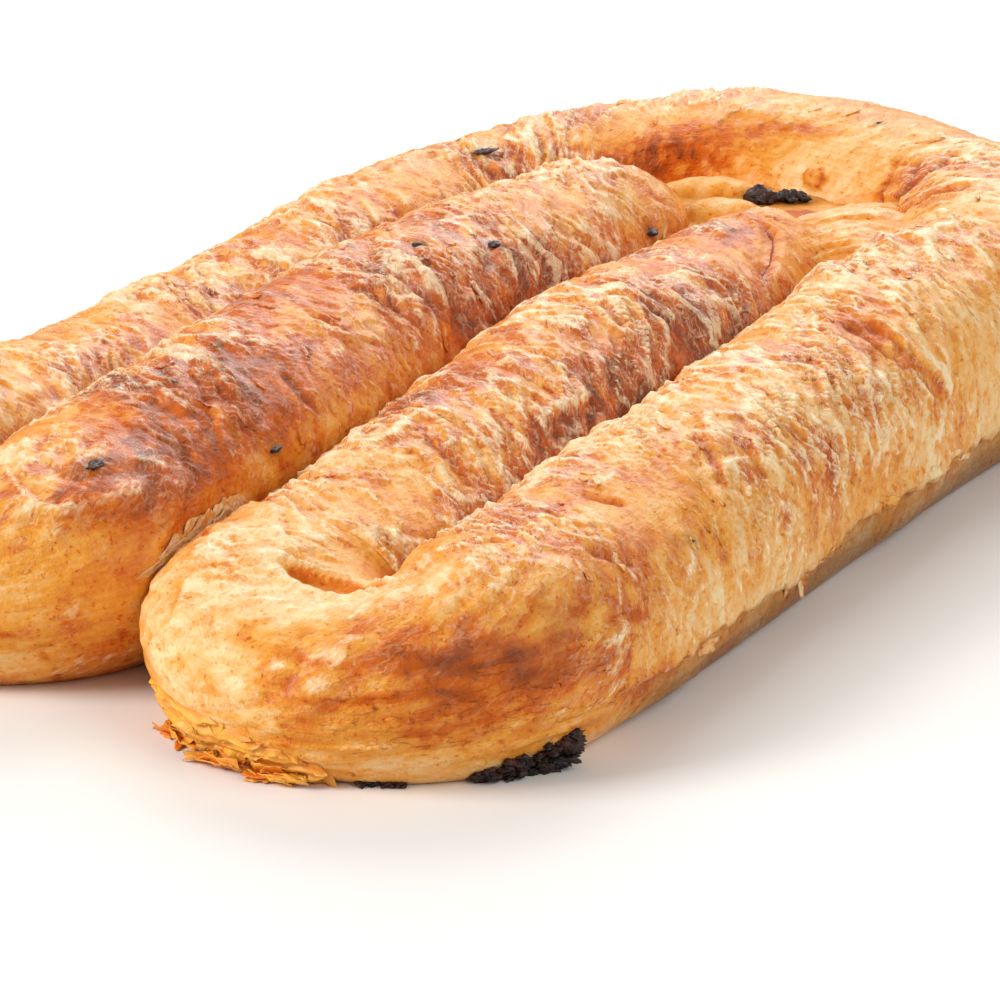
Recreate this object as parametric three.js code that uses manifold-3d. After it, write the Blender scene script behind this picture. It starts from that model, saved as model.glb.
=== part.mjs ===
// A potato borek: one rope of rolled filo dough around its filling, folded into an M, with its legs pressed together.
// Millimetres, +Z up. It lies on z = 0 with the middle of its box over the origin. +Y is the end with the wide arc.
import * as THREE from 'three';
import { mergeVertices } from 'three/addons/utils/BufferGeometryUtils.js';
import Module from 'manifold-3d';

// Middle line of the rope in plan: the two narrow bends and the wide arc are half ellipses.
const FRONT_BEND = { x: 48.5, y: -111, rx: 21.5, ry: 24 };
const LEFT_BEND = { x: -40, y: -113, rx: 23, ry: 23.5 };
const FAR_ARC = { x: -6, y: 68, rx: 66, ry: 67 };

// The two ends of the rope lie side by side inside the arc.
const RIGHT_TIP = new THREE.Vector2(14, 87);
const LEFT_TIP = new THREE.Vector2(-25, 97);

// A leg leaves each bend straight: its handles are this share of its length, and the inner legs bow sideways.
const HANDLE_SHARE = 0.34;
const RIGHT_INNER_BOW = { atTip: 4, atBend: 3 };
const LEFT_INNER_BOW = { atBend: -2, atTip: -14 };

// Half width and height of the rope at both ends and in the middle of each stretch, from the right tip to the left.
const GIRTH = [
  { halfWidth: 19, height: 38 },
  { halfWidth: 23.5, height: 43 },
  { halfWidth: 23, height: 30.5 },
  { halfWidth: 23.5, height: 28.5 },
  { halfWidth: 25, height: 36 },
  { halfWidth: 24.5, height: 40.5 },
  { halfWidth: 25, height: 43.5 },
  { halfWidth: 26, height: 42 },
  { halfWidth: 22.5, height: 35 },
  { halfWidth: 22, height: 32 },
  { halfWidth: 22.5, height: 36 },
  { halfWidth: 24.5, height: 36 },
  { halfWidth: 27, height: 40 },
  { halfWidth: 26, height: 44 },
  { halfWidth: 20, height: 40 },
];
const TIP_LENGTH = 20;

// Section: round over the top, widest below its middle, drawn in to a flat base.
const WIDEST_SHARE = 0.42;
const ROUNDNESS = 2 / 2.2;
const FOOT_ANGLE = THREE.MathUtils.degToRad(53);
const FOOT_SHARE = Math.cos(FOOT_ANGLE) ** ROUNDNESS;
const CRUST_SHARE = 0.86;

// A leg swells over a gap of up to this width to meet its neighbour, and a slit is left where two legs press together.
const SWELL = 12;
const SLIT = 0.5;

// Facets round the rope, along it and over each tip, and how finely the small lumps and the gathered dough are split.
const AROUND = 22;
const ALONG = 208;
const TIP_ROWS = 5;
const LUMP_DETAIL = 1;
const GATHER_DETAIL = 4;

// Relief of the crust: slow lumps along the rope and folds that run round it.
const SEED = 7;
const LUMP = { pitch: 34, turns: 2, depth: 1.6 };
const FOLD = { pitch: 13, turns: 3, depth: 1.3 };
const CRUST_FADE = 0.35;

// Dough gathered between the tips and the arc, flat on top: one mound in the hollow, with two rounded pleats on it, and
// a higher one that closes the gap beside the right tip.
const GATHER = { at: [-4, 101, 0], size: [52, 42, 29], flatness: 0.3 };
const WEB = { at: [29, 82, 0], size: [24, 36, 35], flatness: 0.3 };
const PLEATS = [
  { at: [-19.5, 104, 28.5], size: [12, 5, 3.2], turn: 0.44 },
  { at: [-9.8, 91.5, 28.5], size: [9, 4.5, 3], turn: 0.69 },
];

// Burnt filling in the hollow, beside the pleats.
const BURNT_CLUSTER = [
  { at: [-5.5, 102, 30], size: [3.6, 3, 2.8], turn: 0 },
  { at: [0, 106, 30], size: [4.5, 1.8, 1.8], turn: 0.55 },
];

// At the front bend's foot, round its middle: loose flakes of crust on the left and burnt filling on the right.
const FLAKE_FAN = { count: 6, from: 222, to: 278, reach: 16.5, size: [9, 6, 3], lift: 2.5 };
const BURNT_FAN = { count: 4, from: 318, to: 348, reach: 16.5, size: [6.5, 4.5, 4.5], lift: 2.5 };

// Small dark specks on top of the crust: share of the rope's length, share round its section and radius.
const SPECKS = [
  { along: 0.57, round: 0.38, radius: 2.4 },
  { along: 0.912, round: 0.46, radius: 1.8 },
  { along: 0.927, round: 0.52, radius: 2 },
  { along: 0.974, round: 0.6, radius: 2.2 },
  { along: 0.805, round: 0.49, radius: 2.8 },
  { along: 0.835, round: 0.59, radius: 2.4 },
];

const wasm = await Module();
wasm.setup();

// The draw is seeded, so the same lumps and folds come back each time.
function seededDraw(seed) {
  let state = seed;
  return () => {
    state = (state * 1664525 + 1013904223) % 4294967296;
    return state / 4294967296;
  };
}

// A half ellipse of the middle line, from one side of a bend to the other.
function bend({ x, y, rx, ry }, fromDegrees, toDegrees) {
  const from = THREE.MathUtils.degToRad(fromDegrees);
  const to = THREE.MathUtils.degToRad(toDegrees);
  return new THREE.EllipseCurve(x, y, rx, ry, from, to, to < from);
}

// A leg of the middle line between two points, with its handles pulled sideways by the bows.
function leg(start, end, startBow = 0, endBow = 0) {
  const handle = (end.y - start.y) * HANDLE_SHARE;
  const first = new THREE.Vector2(start.x + startBow, start.y + handle);
  const second = new THREE.Vector2(end.x + endBow, end.y - handle);
  return new THREE.CubicBezierCurve(start, first, second, end);
}

// The whole middle line, from the right tip round to the left tip.
function middleLine() {
  const front = bend(FRONT_BEND, 180, 360);
  const arc = bend(FAR_ARC, 0, 180);
  const left = bend(LEFT_BEND, 180, 360);
  const route = new THREE.CurvePath();
  route.add(leg(RIGHT_TIP, front.getPoint(0), RIGHT_INNER_BOW.atTip, RIGHT_INNER_BOW.atBend));
  route.add(front);
  route.add(leg(front.getPoint(1), arc.getPoint(0)));
  route.add(arc);
  route.add(leg(arc.getPoint(1), left.getPoint(0)));
  route.add(left);
  route.add(leg(left.getPoint(1), LEFT_TIP, LEFT_INNER_BOW.atBend, LEFT_INNER_BOW.atTip));
  return route;
}

// Half width and height at a distance along the route, eased between the rows of GIRTH.
function girthAt(route, distance) {
  const ends = [0, ...route.getCurveLengths()];
  let stretch = 1;
  while (stretch < ends.length - 1 && distance > ends[stretch]) {
    stretch += 1;
  }
  const share = (distance - ends[stretch - 1]) / (ends[stretch] - ends[stretch - 1]);
  const half = share < 0.5 ? 0 : 1;
  const row = (stretch - 1) * 2 + half;
  const ease = THREE.MathUtils.smoothstep(share * 2 - half, 0, 1);
  return {
    halfWidth: THREE.MathUtils.lerp(GIRTH[row].halfWidth, GIRTH[row + 1].halfWidth, ease),
    height: THREE.MathUtils.lerp(GIRTH[row].height, GIRTH[row + 1].height, ease),
  };
}

// Distances of the facet rows: closer together over the rounded tips.
function rowDistances(length) {
  const rows = [];
  const middleRows = ALONG - 2 * TIP_ROWS;
  for (let row = 0; row <= ALONG; row += 1) {
    const toEnd = Math.min(row, ALONG - row);
    if (toEnd < TIP_ROWS) {
      const inset = TIP_LENGTH * (1 - Math.cos((toEnd / TIP_ROWS) * Math.PI / 2));
      rows.push(row < TIP_ROWS ? inset : length - inset);
    } else {
      const share = (row - TIP_ROWS) / middleRows;
      rows.push(THREE.MathUtils.lerp(TIP_LENGTH, length - TIP_LENGTH, share));
    }
  }
  return rows;
}

// Room beside one point of the middle line: the radius of the largest circle on that side that touches the line there
// and holds no other point of it. Legs that keep within it can press together but never cross.
function roomBeside(row, rows, side) {
  let room = Infinity;
  for (const other of rows) {
    const offset = other.point.clone().sub(row.point);
    const across = side * offset.dot(row.normal);
    if (across > 1e-6) {
      room = Math.min(room, offset.lengthSq() / (2 * across));
    }
  }
  return room;
}

// Half width on one side of the rope, which swells to meet a neighbour that is close.
function sideWidth(halfWidth, room) {
  const gap = THREE.MathUtils.clamp(room - halfWidth, 0, SWELL);
  return halfWidth + gap * (1 - THREE.MathUtils.smoothstep(gap, SWELL / 4, SWELL / 2));
}

// One row for each ring of facets: its place, girth, room on both sides and the taper of the tips.
function ropeRows(route) {
  const length = route.getLength();
  const rows = rowDistances(length).map((distance) => {
    const tangent = route.getTangent(distance / length);
    const inset = Math.min(distance, length - distance, TIP_LENGTH) / TIP_LENGTH;
    return {
      distance,
      point: route.getPoint(distance / length),
      normal: new THREE.Vector2(-tangent.y, tangent.x),
      taper: Math.sqrt(1 - (1 - inset) ** 2),
      ...girthAt(route, distance),
    };
  });
  for (const row of rows) {
    row.leftRoom = roomBeside(row, rows, 1);
    row.rightRoom = roomBeside(row, rows, -1);
    row.leftWidth = sideWidth(row.halfWidth, row.leftRoom);
    row.rightWidth = sideWidth(row.halfWidth, row.rightRoom);
  }
  return rows;
}

// Outline of the section at a share of the way round, from the left foot over the top to the right foot and back
// along the base. Side is a share of the half width, plus to the left, and rise a share of the height.
function sectionAt(share) {
  if (share > CRUST_SHARE) {
    const across = (share - CRUST_SHARE) / (1 - CRUST_SHARE);
    return { side: FOOT_SHARE * (2 * across - 1), rise: 0 };
  }
  const angle = THREE.MathUtils.lerp(-FOOT_ANGLE, Math.PI + FOOT_ANGLE, share / CRUST_SHARE);
  const cosine = Math.cos(angle);
  const sine = Math.sin(angle);
  const side = Math.sign(cosine) * Math.abs(cosine) ** ROUNDNESS;
  if (sine > 0) {
    return { side, rise: WIDEST_SHARE + (1 - WIDEST_SHARE) * sine ** ROUNDNESS };
  }
  return { side, rise: WIDEST_SHARE * Math.max(0, 1 + sine / Math.sin(FOOT_ANGLE)) };
}

// Smooth seeded waves along and round the rope, between -1 and 1.
function waveField({ pitch, turns }, length, draw) {
  const columns = Math.ceil(length / pitch) + 2;
  const heights = Array.from({ length: columns * turns * 2 }, () => 2 * draw() - 1);
  const heightAt = (column, slot) => heights[column * turns * 2 + (slot % (turns * 2))];
  return (distance, share) => {
    const column = Math.floor(distance / pitch);
    const slot = Math.floor(share * turns * 2);
    const along = THREE.MathUtils.smoothstep(distance / pitch - column, 0, 1);
    const around = THREE.MathUtils.smoothstep(share * turns * 2 - slot, 0, 1);
    const near = THREE.MathUtils.lerp(heightAt(column, slot), heightAt(column, slot + 1), around);
    const far = THREE.MathUtils.lerp(heightAt(column + 1, slot), heightAt(column + 1, slot + 1), around);
    return THREE.MathUtils.lerp(near, far, along);
  };
}

// Relief of the crust at a place on the rope, none on its base.
function crustRelief(length) {
  const draw = seededDraw(SEED);
  const lumps = waveField(LUMP, length, draw);
  const folds = waveField(FOLD, length, draw);
  return (distance, share, rise) => {
    const fade = THREE.MathUtils.smoothstep(rise, 0, CRUST_FADE);
    return fade * (LUMP.depth * lumps(distance, share) + FOLD.depth * folds(distance, share));
  };
}

// A point of the rope's surface, kept within its room on both sides.
function ropePoint(row, share, relief) {
  const { side, rise } = sectionAt(share);
  const growth = 1 + relief(row.distance, share, rise) / row.halfWidth;
  const width = side > 0 ? row.leftWidth : row.rightWidth;
  const reach = width * row.taper * Math.max(1, growth) * side;
  const across = THREE.MathUtils.clamp(reach, SLIT / 2 - row.rightRoom, row.leftRoom - SLIT / 2);
  const waist = WIDEST_SHARE * row.height;
  const height = waist + (rise * row.height - waist) * row.taper * growth;
  const place = row.normal.clone().multiplyScalar(across).add(row.point);
  return new THREE.Vector3(place.x, place.y, Math.max(0, height));
}

// The rope: a sphere's rows and columns pulled out along the middle line.
function ropeGeometry(rows, length) {
  const geometry = new THREE.SphereGeometry(1, AROUND, ALONG);
  const position = geometry.attributes.position;
  const relief = crustRelief(length);
  rows.forEach((row, ring) => {
    for (let column = 0; column <= AROUND; column += 1) {
      const point = ropePoint(row, ((AROUND - column) % AROUND) / AROUND, relief);
      position.setXYZ(ring * (AROUND + 1) + column, point.x, point.y, point.z);
    }
  });
  return geometry;
}

// No corner lies below the base.
function standOnBase(geometry) {
  const position = geometry.attributes.position;
  for (let i = 0; i < position.count; i += 1) {
    position.setZ(i, Math.max(0, position.getZ(i)));
  }
  return geometry;
}

// A small rounded lump, sunk into what it lies on.
function lumpGeometry({ at, size, turn }) {
  const geometry = new THREE.IcosahedronGeometry(1, LUMP_DETAIL);
  return standOnBase(geometry.scale(...size).rotateZ(turn).translate(...at));
}

// The gathered dough: a dome with its top pressed flat.
function gatherGeometry({ at, size, flatness }) {
  const geometry = new THREE.IcosahedronGeometry(1, GATHER_DETAIL);
  const position = geometry.attributes.position;
  for (let i = 0; i < position.count; i += 1) {
    position.setZ(i, Math.max(0, position.getZ(i)) ** flatness);
  }
  return geometry.scale(...size).translate(...at);
}

// A closed geometry as a solid, with its shared corners merged.
function solid(geometry) {
  const bare = geometry.clone();
  bare.deleteAttribute('normal');
  bare.deleteAttribute('uv');
  const merged = mergeVertices(bare, 1e-3);
  const triVerts = new Uint32Array(merged.index.array);
  const vertProperties = new Float32Array(merged.attributes.position.array);
  return new wasm.Manifold(new wasm.Mesh({ numProp: 3, vertProperties, triVerts }));
}

// A solid as a geometry again.
function geometryOf(shape) {
  const mesh = shape.getMesh();
  const geometry = new THREE.BufferGeometry();
  geometry.setAttribute('position', new THREE.BufferAttribute(mesh.vertProperties, mesh.numProp));
  geometry.setIndex(new THREE.BufferAttribute(mesh.triVerts, 1));
  geometry.computeVertexNormals();
  return geometry;
}

// Lumps of one kind, set out round the front bend's foot.
function fan({ count, from, to, reach, size, lift }) {
  return Array.from({ length: count }, (_, i) => {
    const angle = THREE.MathUtils.degToRad(THREE.MathUtils.lerp(from, to, i / (count - 1)));
    const x = FRONT_BEND.x + (FRONT_BEND.rx + reach) * Math.cos(angle);
    const y = FRONT_BEND.y + (FRONT_BEND.ry + reach) * Math.sin(angle);
    return { at: [x, y, lift], size, turn: angle + Math.PI / 2 };
  });
}

// The specks, each half sunk into the crust.
function specks(rows, length) {
  const flat = () => 0;
  return SPECKS.map(({ along, round, radius }) => {
    const distance = along * length;
    const row = rows.find((candidate) => candidate.distance >= distance);
    const point = ropePoint(row, round, flat);
    return { at: point.toArray(), size: [radius, radius, radius], turn: 0 };
  });
}

function borek() {
  const route = middleLine();
  const rows = ropeRows(route);
  const length = route.getLength();
  const lumps = [...PLEATS, ...BURNT_CLUSTER, ...fan(FLAKE_FAN), ...fan(BURNT_FAN), ...specks(rows, length)];
  const mounds = [GATHER, WEB].map(gatherGeometry);
  const pieces = [ropeGeometry(rows, length), ...mounds, ...lumps.map(lumpGeometry)];
  const fused = pieces.map(solid).reduce((shape, piece) => shape.add(piece));
  const geometry = geometryOf(fused);
  geometry.computeBoundingBox();
  const middle = geometry.boundingBox.getCenter(new THREE.Vector3());
  geometry.translate(-middle.x, -middle.y, -geometry.boundingBox.min.z);
  const crust = new THREE.MeshStandardMaterial({ color: 0xd9993f, roughness: 0.55, metalness: 0 });
  const mesh = new THREE.Mesh(geometry, crust);
  mesh.name = 'borek';
  return mesh;
}

const group = new THREE.Group();
group.add(borek());

export default group;
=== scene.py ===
"""A baked potato borek: one rope of rolled dough folded into an M, with a flaky, unevenly browned crust.

Sizes are in millimetres and turn into metres where a mesh is made. The rope has two coordinates: how far a
point lies along the rope, and how far round it, as a share that starts at the left foot, crosses the top and
returns along the base.
"""

import bpy
import numpy as np
from mathutils import Matrix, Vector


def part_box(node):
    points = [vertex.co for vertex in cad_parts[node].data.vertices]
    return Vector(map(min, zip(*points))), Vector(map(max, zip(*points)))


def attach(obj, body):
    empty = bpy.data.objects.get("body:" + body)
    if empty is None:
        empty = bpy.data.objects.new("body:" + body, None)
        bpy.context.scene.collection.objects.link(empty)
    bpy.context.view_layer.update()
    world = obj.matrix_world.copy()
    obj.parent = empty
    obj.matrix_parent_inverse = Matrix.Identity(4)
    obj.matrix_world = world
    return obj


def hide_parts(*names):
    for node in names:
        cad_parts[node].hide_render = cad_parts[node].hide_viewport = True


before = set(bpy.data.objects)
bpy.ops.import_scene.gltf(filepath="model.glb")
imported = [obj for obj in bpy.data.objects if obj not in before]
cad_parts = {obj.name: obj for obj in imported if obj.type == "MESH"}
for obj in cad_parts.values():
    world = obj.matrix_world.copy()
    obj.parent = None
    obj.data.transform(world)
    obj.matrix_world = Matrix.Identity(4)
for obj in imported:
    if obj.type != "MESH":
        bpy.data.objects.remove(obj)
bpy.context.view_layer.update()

MM = 0.001

# The rope's middle line: half ellipses as centre x, centre y, radius x, radius y, and the two ends.
FRONT_BEND = (48.5, -111, 21.5, 24)
LEFT_BEND = (-40, -113, 23, 23.5)
FAR_ARC = (-6, 68, 66, 67)
RIGHT_TIP = (14, 87)
LEFT_TIP = (-25, 97)
HANDLE_SHARE = 0.34
RIGHT_INNER_BOW = (4, 3)
LEFT_INNER_BOW = (-2, -14)
LINE_POINTS = 400

# Half width and height of the rope at the ends and middles of its seven stretches.
GIRTH = np.array([
    (19, 38), (23.5, 43), (23, 30.5), (23.5, 28.5), (25, 36), (24.5, 40.5), (25, 43.5), (26, 42),
    (22.5, 35), (22, 32), (22.5, 36), (24.5, 36), (27, 40), (26, 44), (20, 40),
])

# The rope's section, the rounding of its ends and the room that its sides leave to their neighbours.
TIP_LENGTH = 20
WIDEST_SHARE = 0.42
ROUNDNESS = 2 / 2.2
FOOT_ANGLE = np.radians(53)
FOOT_SHARE = np.cos(FOOT_ANGLE) ** ROUNDNESS
CRUST_SHARE = 0.86
TOP_SHARE = CRUST_SHARE / 2
SWELL = 12
SLIT = 0.1
NEIGHBOUR_REACH = 4
FAR_ROOM = 60
EASE_LENGTH = 5.0

# The crust's mesh, and the length in mm of one unit of its flat map.
ROW_PITCH = 0.45
TIP_ROWS = 60
CRUST_COLUMNS = 116
BASE_COLUMNS = 6
CRUST_PARTS = ("crust_front", "crust_right", "crust_far", "crust_left")
MAP_UNIT = 10
CLEARANCE = 0.02
LEAF_THICKNESS = 0.25

# Browning of the left side, top and right side at the same places as the girth: 0 is cream, 1 nearly black.
# The higher values on the sides of the inner legs that face a neighbouring leg are partly painted shade.
BROWNING = np.array([
    (0.46, 0.36, 0.40), (0.62, 0.38, 0.45), (0.48, 0.26, 0.34), (0.40, 0.10, 0.18), (0.35, 0.28, 0.22),
    (0.38, 0.28, 0.18), (0.30, 0.26, 0.18), (0.10, 0.26, 0.20), (0.50, 0.30, 0.20), (0.44, 0.27, 0.20),
    (0.40, 0.26, 0.24), (0.44, 0.28, 0.20), (0.42, 0.42, 0.46), (0.42, 0.38, 0.54), (0.36, 0.26, 0.44),
])
SIDE_SHARES = (0.16, TOP_SHARE, 0.70)
BROWN_RANGE = (0.02, 0.76)

# Noises over the crust: seed, length and width of their blots in mm, and in a list their strength.
BROAD = (4, 34, 26)
PATCHY = (3, 40, 30)
CLUSTERS = (10, 13, 19)
PITS = (23, 1.7, 1.7)
TORN_RAGS = (26, 7, 7)
BLISTER_RAGS = (28, 3, 2)
CLOUDS = [(11, 24, 22, 0.17), (12, 8, 9, 0.12)]
STREAKS = [(13, 3.6, 16, 0.12), (14, 1.8, 7, 0.07)]

# Ridges and torn layers: seed, pitch, length round the rope, then the width of a ridge or steps of a layer.
WRINKLE_SLANT = 0.45
FOLDS = (5, 11, 46, 0.5)
HAIRS = (9, 2.0, 7, 0.32)
COARSE_LAYERS = (6, 9.0, 26, 1.5)
FINE_LAYERS = (7, 5.4, 15, 1.5)
TORN_DROP = 0.28
# How they bend: size, pitch and length of a sway, then size and pitch of a bow, all as shares of their own.
FOLD_BEND = (1.3, 3, 0.7, 0.25, 5)
LAYER_BEND = (1.1, 2.5, 0.6, 0.3, 4)
# Edges of layers along the rope: length, pitch and how far they drop.
LINE_LENGTH = 30
LINE_PITCH = 3.1
LINE_DROP = 3.0
# Places in one noise that are far enough apart to look unlike.
SWAY_SHIFT = 31.7
BOW_SHIFT = (57.9, 3.1)
DASH_SHIFT = (77.1, 12.3)

# Where the relief fades: by the rise of the section, the distance from the rope's ends in mm, and the stretch
# of the rows, which crowd together inside a bend.
GROUND_RISE = (0.0, 0.12)
LOW_RISE = (0.1, 0.42)
SIDE_RISE = (0.25, 0.75)
TIP_FADE = (2, 14)
FLAKY_STRETCH = (0.35, 0.9)
OPEN_STRETCH = (0.25, 0.7)
# Heights of the relief, in mm, and the depth that keeps it level with the solid.
BROAD_HEIGHT = 1.1
FOLD_HEIGHT = 0.8
HAIR_HEIGHT = 0.45
COARSE_HEIGHT = 1.0
FINE_HEIGHT = 0.75
LINE_HEIGHT = 0.5
LOW_HEIGHT = 0.3
RELIEF_SINK = 1.3
PIT_DEPTH = 1.2
PIT_TINT = 0.8
# Painted shade in the low ground just past the torn layers' edges.
HOLLOW_SHADE = 0.14

# Patches of the crust: place along and round the rope as shares, reach along and round in mm, strength.
# Brown ones darken or pale it, dark ones scorch it, smooth ones flatten it, plain ones lose their flakes.
BROWN_PATCHES = [
    (0.849, 0.417, 16, 9, 0.18), (0.896, 0.406, 22, 10, 0.16), (0.930, 0.52, 14, 12, 0.16),
    (0.863, 0.561, 16, 9, 0.16), (0.911, 0.589, 15, 9, 0.20), (0.965, 0.50, 12, 9, 0.10),
    (0.125, 0.458, 12, 7, 0.22), (0.030, 0.430, 10, 6, 0.34), (0.100, 0.289, 20, 10, 0.18),
    (0.060, 0.33, 14, 8, 0.12), (0.155, 0.27, 14, 7, 0.14), (0.122, 0.29, 13, 6, 0.18),
    (0.228, 0.612, 13, 7, 0.18), (0.2325, 0.638, 7, 6, 0.08), (0.217, 0.580, 14, 8, 0.14),
    (0.2245, 0.70, 14, 7, 0.08), (0.205, 0.56, 16, 6, 0.12),
    (0.254, 0.417, 12, 6, 0.17), (0.299, 0.522, 11, 6, 0.17), (0.267, 0.586, 11, 6, 0.22),
    (0.313, 0.592, 15, 6, 0.16), (0.335, 0.45, 14, 8, 0.12), (0.355, 0.439, 6, 8, 0.20),
    (0.247, 0.60, 12, 8, 0.14), (0.452, 0.311, 9, 8, 0.26), (0.463, 0.27, 7, 6, 0.20),
    # The patch at (0.526, 0.275) deepens the far arc's inner wall, partly its own browning and partly painted
    # shade.
    (0.526, 0.275, 22, 9, 0.56), (0.497, 0.361, 10, 2.5, 0.34),
    (0.570, 0.383, 14, 8, 0.16), (0.809, 0.505, 10, 9, 0.20), (0.835, 0.592, 14, 10, 0.06),
    (0.803, 0.62, 14, 8, 0.16), (0.790, 0.825, 7, 3, 0.50), (0.699, 0.350, 22, 7, 0.14),
    (0.640, 0.42, 26, 7, 0.12), (0.845, 0.48, 26, 14, 0.14), (0.822, 0.54, 14, 10, 0.16),
    (0.222, 0.63, 22, 13, 0.12), (0.231, 0.70, 14, 10, 0.06), (0.190, 0.58, 22, 16, -0.16),
    # The patch at (0.085, 0.24) is painted shade along the inner right leg's low flank, in the valley against
    # the outer right leg.
    (0.205, 0.50, 20, 10, -0.06), (0.085, 0.24, 45, 8, 0.16), (0.214, 0.545, 13, 9, 0.08),
    (0.830, 0.46, 18, 14, 0.16), (0.812, 0.52, 14, 9, 0.14),
    (0.857, 0.575, 26, 9, -0.14), (0.797, 0.42, 20, 12, -0.22), (0.735, 0.37, 34, 14, -0.26),
    (0.803, 0.70, 16, 16, -0.10), (0.018, 0.34, 18, 12, -0.10), (0.795, 0.49, 9, 11, -0.30),
    (0.840, 0.63, 40, 8, -0.24), (0.8085, 0.47, 8, 8, 0.14), (0.236, 0.575, 7, 5, -0.16),
    (0.234, 0.735, 14, 8, 0.06), (0.2215, 0.75, 18, 8, 0.10),
    (0.2275, 0.61, 16, 9, 0.10), (0.480, 0.27, 30, 14, -0.08),
]
DARK_PATCHES = [(0.2285, 0.615, 12, 7, 0.3), (0.2325, 0.63, 6, 6, 0.15)]
SMOOTH_PATCHES = [
    (0.490, 0.27, 34, 28, 0.95), (0.515, 0.33, 26, 12, 0.7), (0.800, 0.68, 60, 16, 0.5),
    (0.203, 0.66, 30, 16, 0.15), (0.205, 0.40, 30, 9, 0.8), (0.455, 0.24, 14, 14, 0.5),
    (0.184, 0.66, 14, 14, 0.5), (0.018, 0.34, 18, 13, 0.9),
]
PLAIN_PATCHES = [
    (0.828, 0.49, 24, 15, 0.8), (0.212, 0.62, 30, 18, 0.6), (0.018, 0.34, 18, 13, 0.9),
    (0.800, 0.66, 40, 16, 0.4), (0.880, 0.63, 60, 9, 0.5),
]
# Noises that move the edges of patches along and round the rope, fully where a patch is large enough.
WANDER = 11
FINE_WANDER = WANDER / 2.3
EDGES_ALONG = [(15, WANDER, WANDER, 6), (16, FINE_WANDER, FINE_WANDER, 3)]
EDGES_ROUND = [(17, WANDER, WANDER, 5), (18, FINE_WANDER, FINE_WANDER, 3)]
FULL_WANDER = 8
FLECKS = (19, 3.2, 2.8)
# Where the form swells or sinks: place along and round the rope, reach along and round in mm, height.
BULGES = [(0.189, 0.66, 16, 16, 1.7), (0.315, 0.42, 60, 30, -1.2), (0.162, 0.52, 45, 16, 1.2)]

# Lines in the crust, each through places along and round the rope, as shares.
FRONT_SPLIT = [(0.195, 0.425), (0.205, 0.395), (0.217, 0.406)]
LEFT_LIP = [(0.808, 0.575), (0.802, 0.567), (0.7987, 0.561), (0.7957, 0.55), (0.788, 0.53)]
TIP_SEAM = [(0.0438, 0.311), (0.0358, 0.336), (0.0267, 0.378), (0.0233, 0.406)]
TORN_EDGES = [
    [(0.9075, 0.425), (0.9058, 0.456), (0.9033, 0.514), (0.9008, 0.564), (0.8958, 0.606)],
    [(0.8929, 0.439), (0.8945, 0.486), (0.8950, 0.539), (0.8933, 0.589)],
    [(0.9262, 0.522), (0.9266, 0.550), (0.9233, 0.586), (0.9216, 0.611)],
    [(0.9362, 0.558), (0.9366, 0.583), (0.9383, 0.611)],
    [(0.8716, 0.453), (0.8716, 0.497), (0.8737, 0.528)], [(0.8483, 0.411), (0.8424, 0.469), (0.8383, 0.522)],
    [(0.1125, 0.283), (0.1163, 0.306), (0.1213, 0.319), (0.1263, 0.319), (0.1313, 0.303)],
    [(0.3550, 0.66), (0.3515, 0.575), (0.3535, 0.46)],
]
CREASES = [
    [(0.8879, 0.469), (0.8883, 0.494), (0.8891, 0.525)], [(0.8508, 0.517), (0.8495, 0.550), (0.8495, 0.578)],
    [(0.1109, 0.322), (0.1121, 0.303), (0.1138, 0.283)], [(0.1451, 0.417), (0.1463, 0.372), (0.1484, 0.331)],
    [(0.0825, 0.378), (0.0830, 0.331), (0.0817, 0.283)], [(0.2618, 0.439), (0.2622, 0.456), (0.2630, 0.475)],
    [(0.2459, 0.519), (0.2476, 0.539), (0.2497, 0.561)], [(0.2901, 0.469), (0.2880, 0.500), (0.2835, 0.536)],
    [(0.2955, 0.506), (0.2947, 0.536), (0.2918, 0.572)], [(0.3493, 0.461), (0.3472, 0.511), (0.3468, 0.564)],
    [(0.457, 0.235), (0.4594, 0.294), (0.4652, 0.344), (0.4564, 0.347), (0.4448, 0.303), (0.4498, 0.245)],
    [(0.4498, 0.245), (0.4448, 0.303), (0.4469, 0.364), (0.452, 0.40)],
    [(0.440, 0.24), (0.432, 0.31), (0.428, 0.38)],
]
PIT_RIDGES = [
    [(0.428, 0.22), (0.410, 0.33), (0.404, 0.40)], [(0.418, 0.22), (0.396, 0.32), (0.384, 0.39)],
    [(0.408, 0.20), (0.384, 0.29), (0.368, 0.36)],
]
# A torn edge is raised on its line's left: reach, height and how much darker it is beyond, as painted shade.
TORN_FORM = (4.0, 1.0, 0.26)
SEAM_FORM = (9.0, 1.2, 0.04)
LIP_FORM = (7.0, 1.2, 0.10)
# A crease: width, depth and how much darker it is, as painted shade in the groove.
CREASE_FORM = (1.2, 0.9, 0.24)
SEAM_CREASE = (1.0, 1.0, 0.16)
SPLIT_WIDTH = 5.0
SPLIT_DEPTH = 2.8
PIT_RIDGE_WIDTH = 1.6
PIT_RIDGE_HEIGHT = 1.2
BLISTER_AT = (0.4844, 0.267)
BLISTER_SIZE = (4.2, 2.3)
BLISTER_HEIGHT = 1.2

# The outer layer's lower edge: its share round the rope, where it fades in and out along it, the seed, length
# and size of its sways, its lip and the recess below.
SHELF_SHARE = 0.735
SHELF_ALONG = (0.238, 0.258, 0.715, 0.735)
SHELF_RAGS = [(24, 28, 0.016), (25, 5, 0.014)]
SHELF_LIP = 1.0
SHELF_RECESS = 1.4
# Painted shade at the foot of the outer right leg, darker towards the floor: where it fades in and out along
# the rope, and up its side.
FOOT_SHADE_ALONG = (0.238, 0.26, 0.41, 0.45)
FOOT_SHADE_RISE = (0.05, 0.4)
FOOT_SHADE = 0.8

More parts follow.
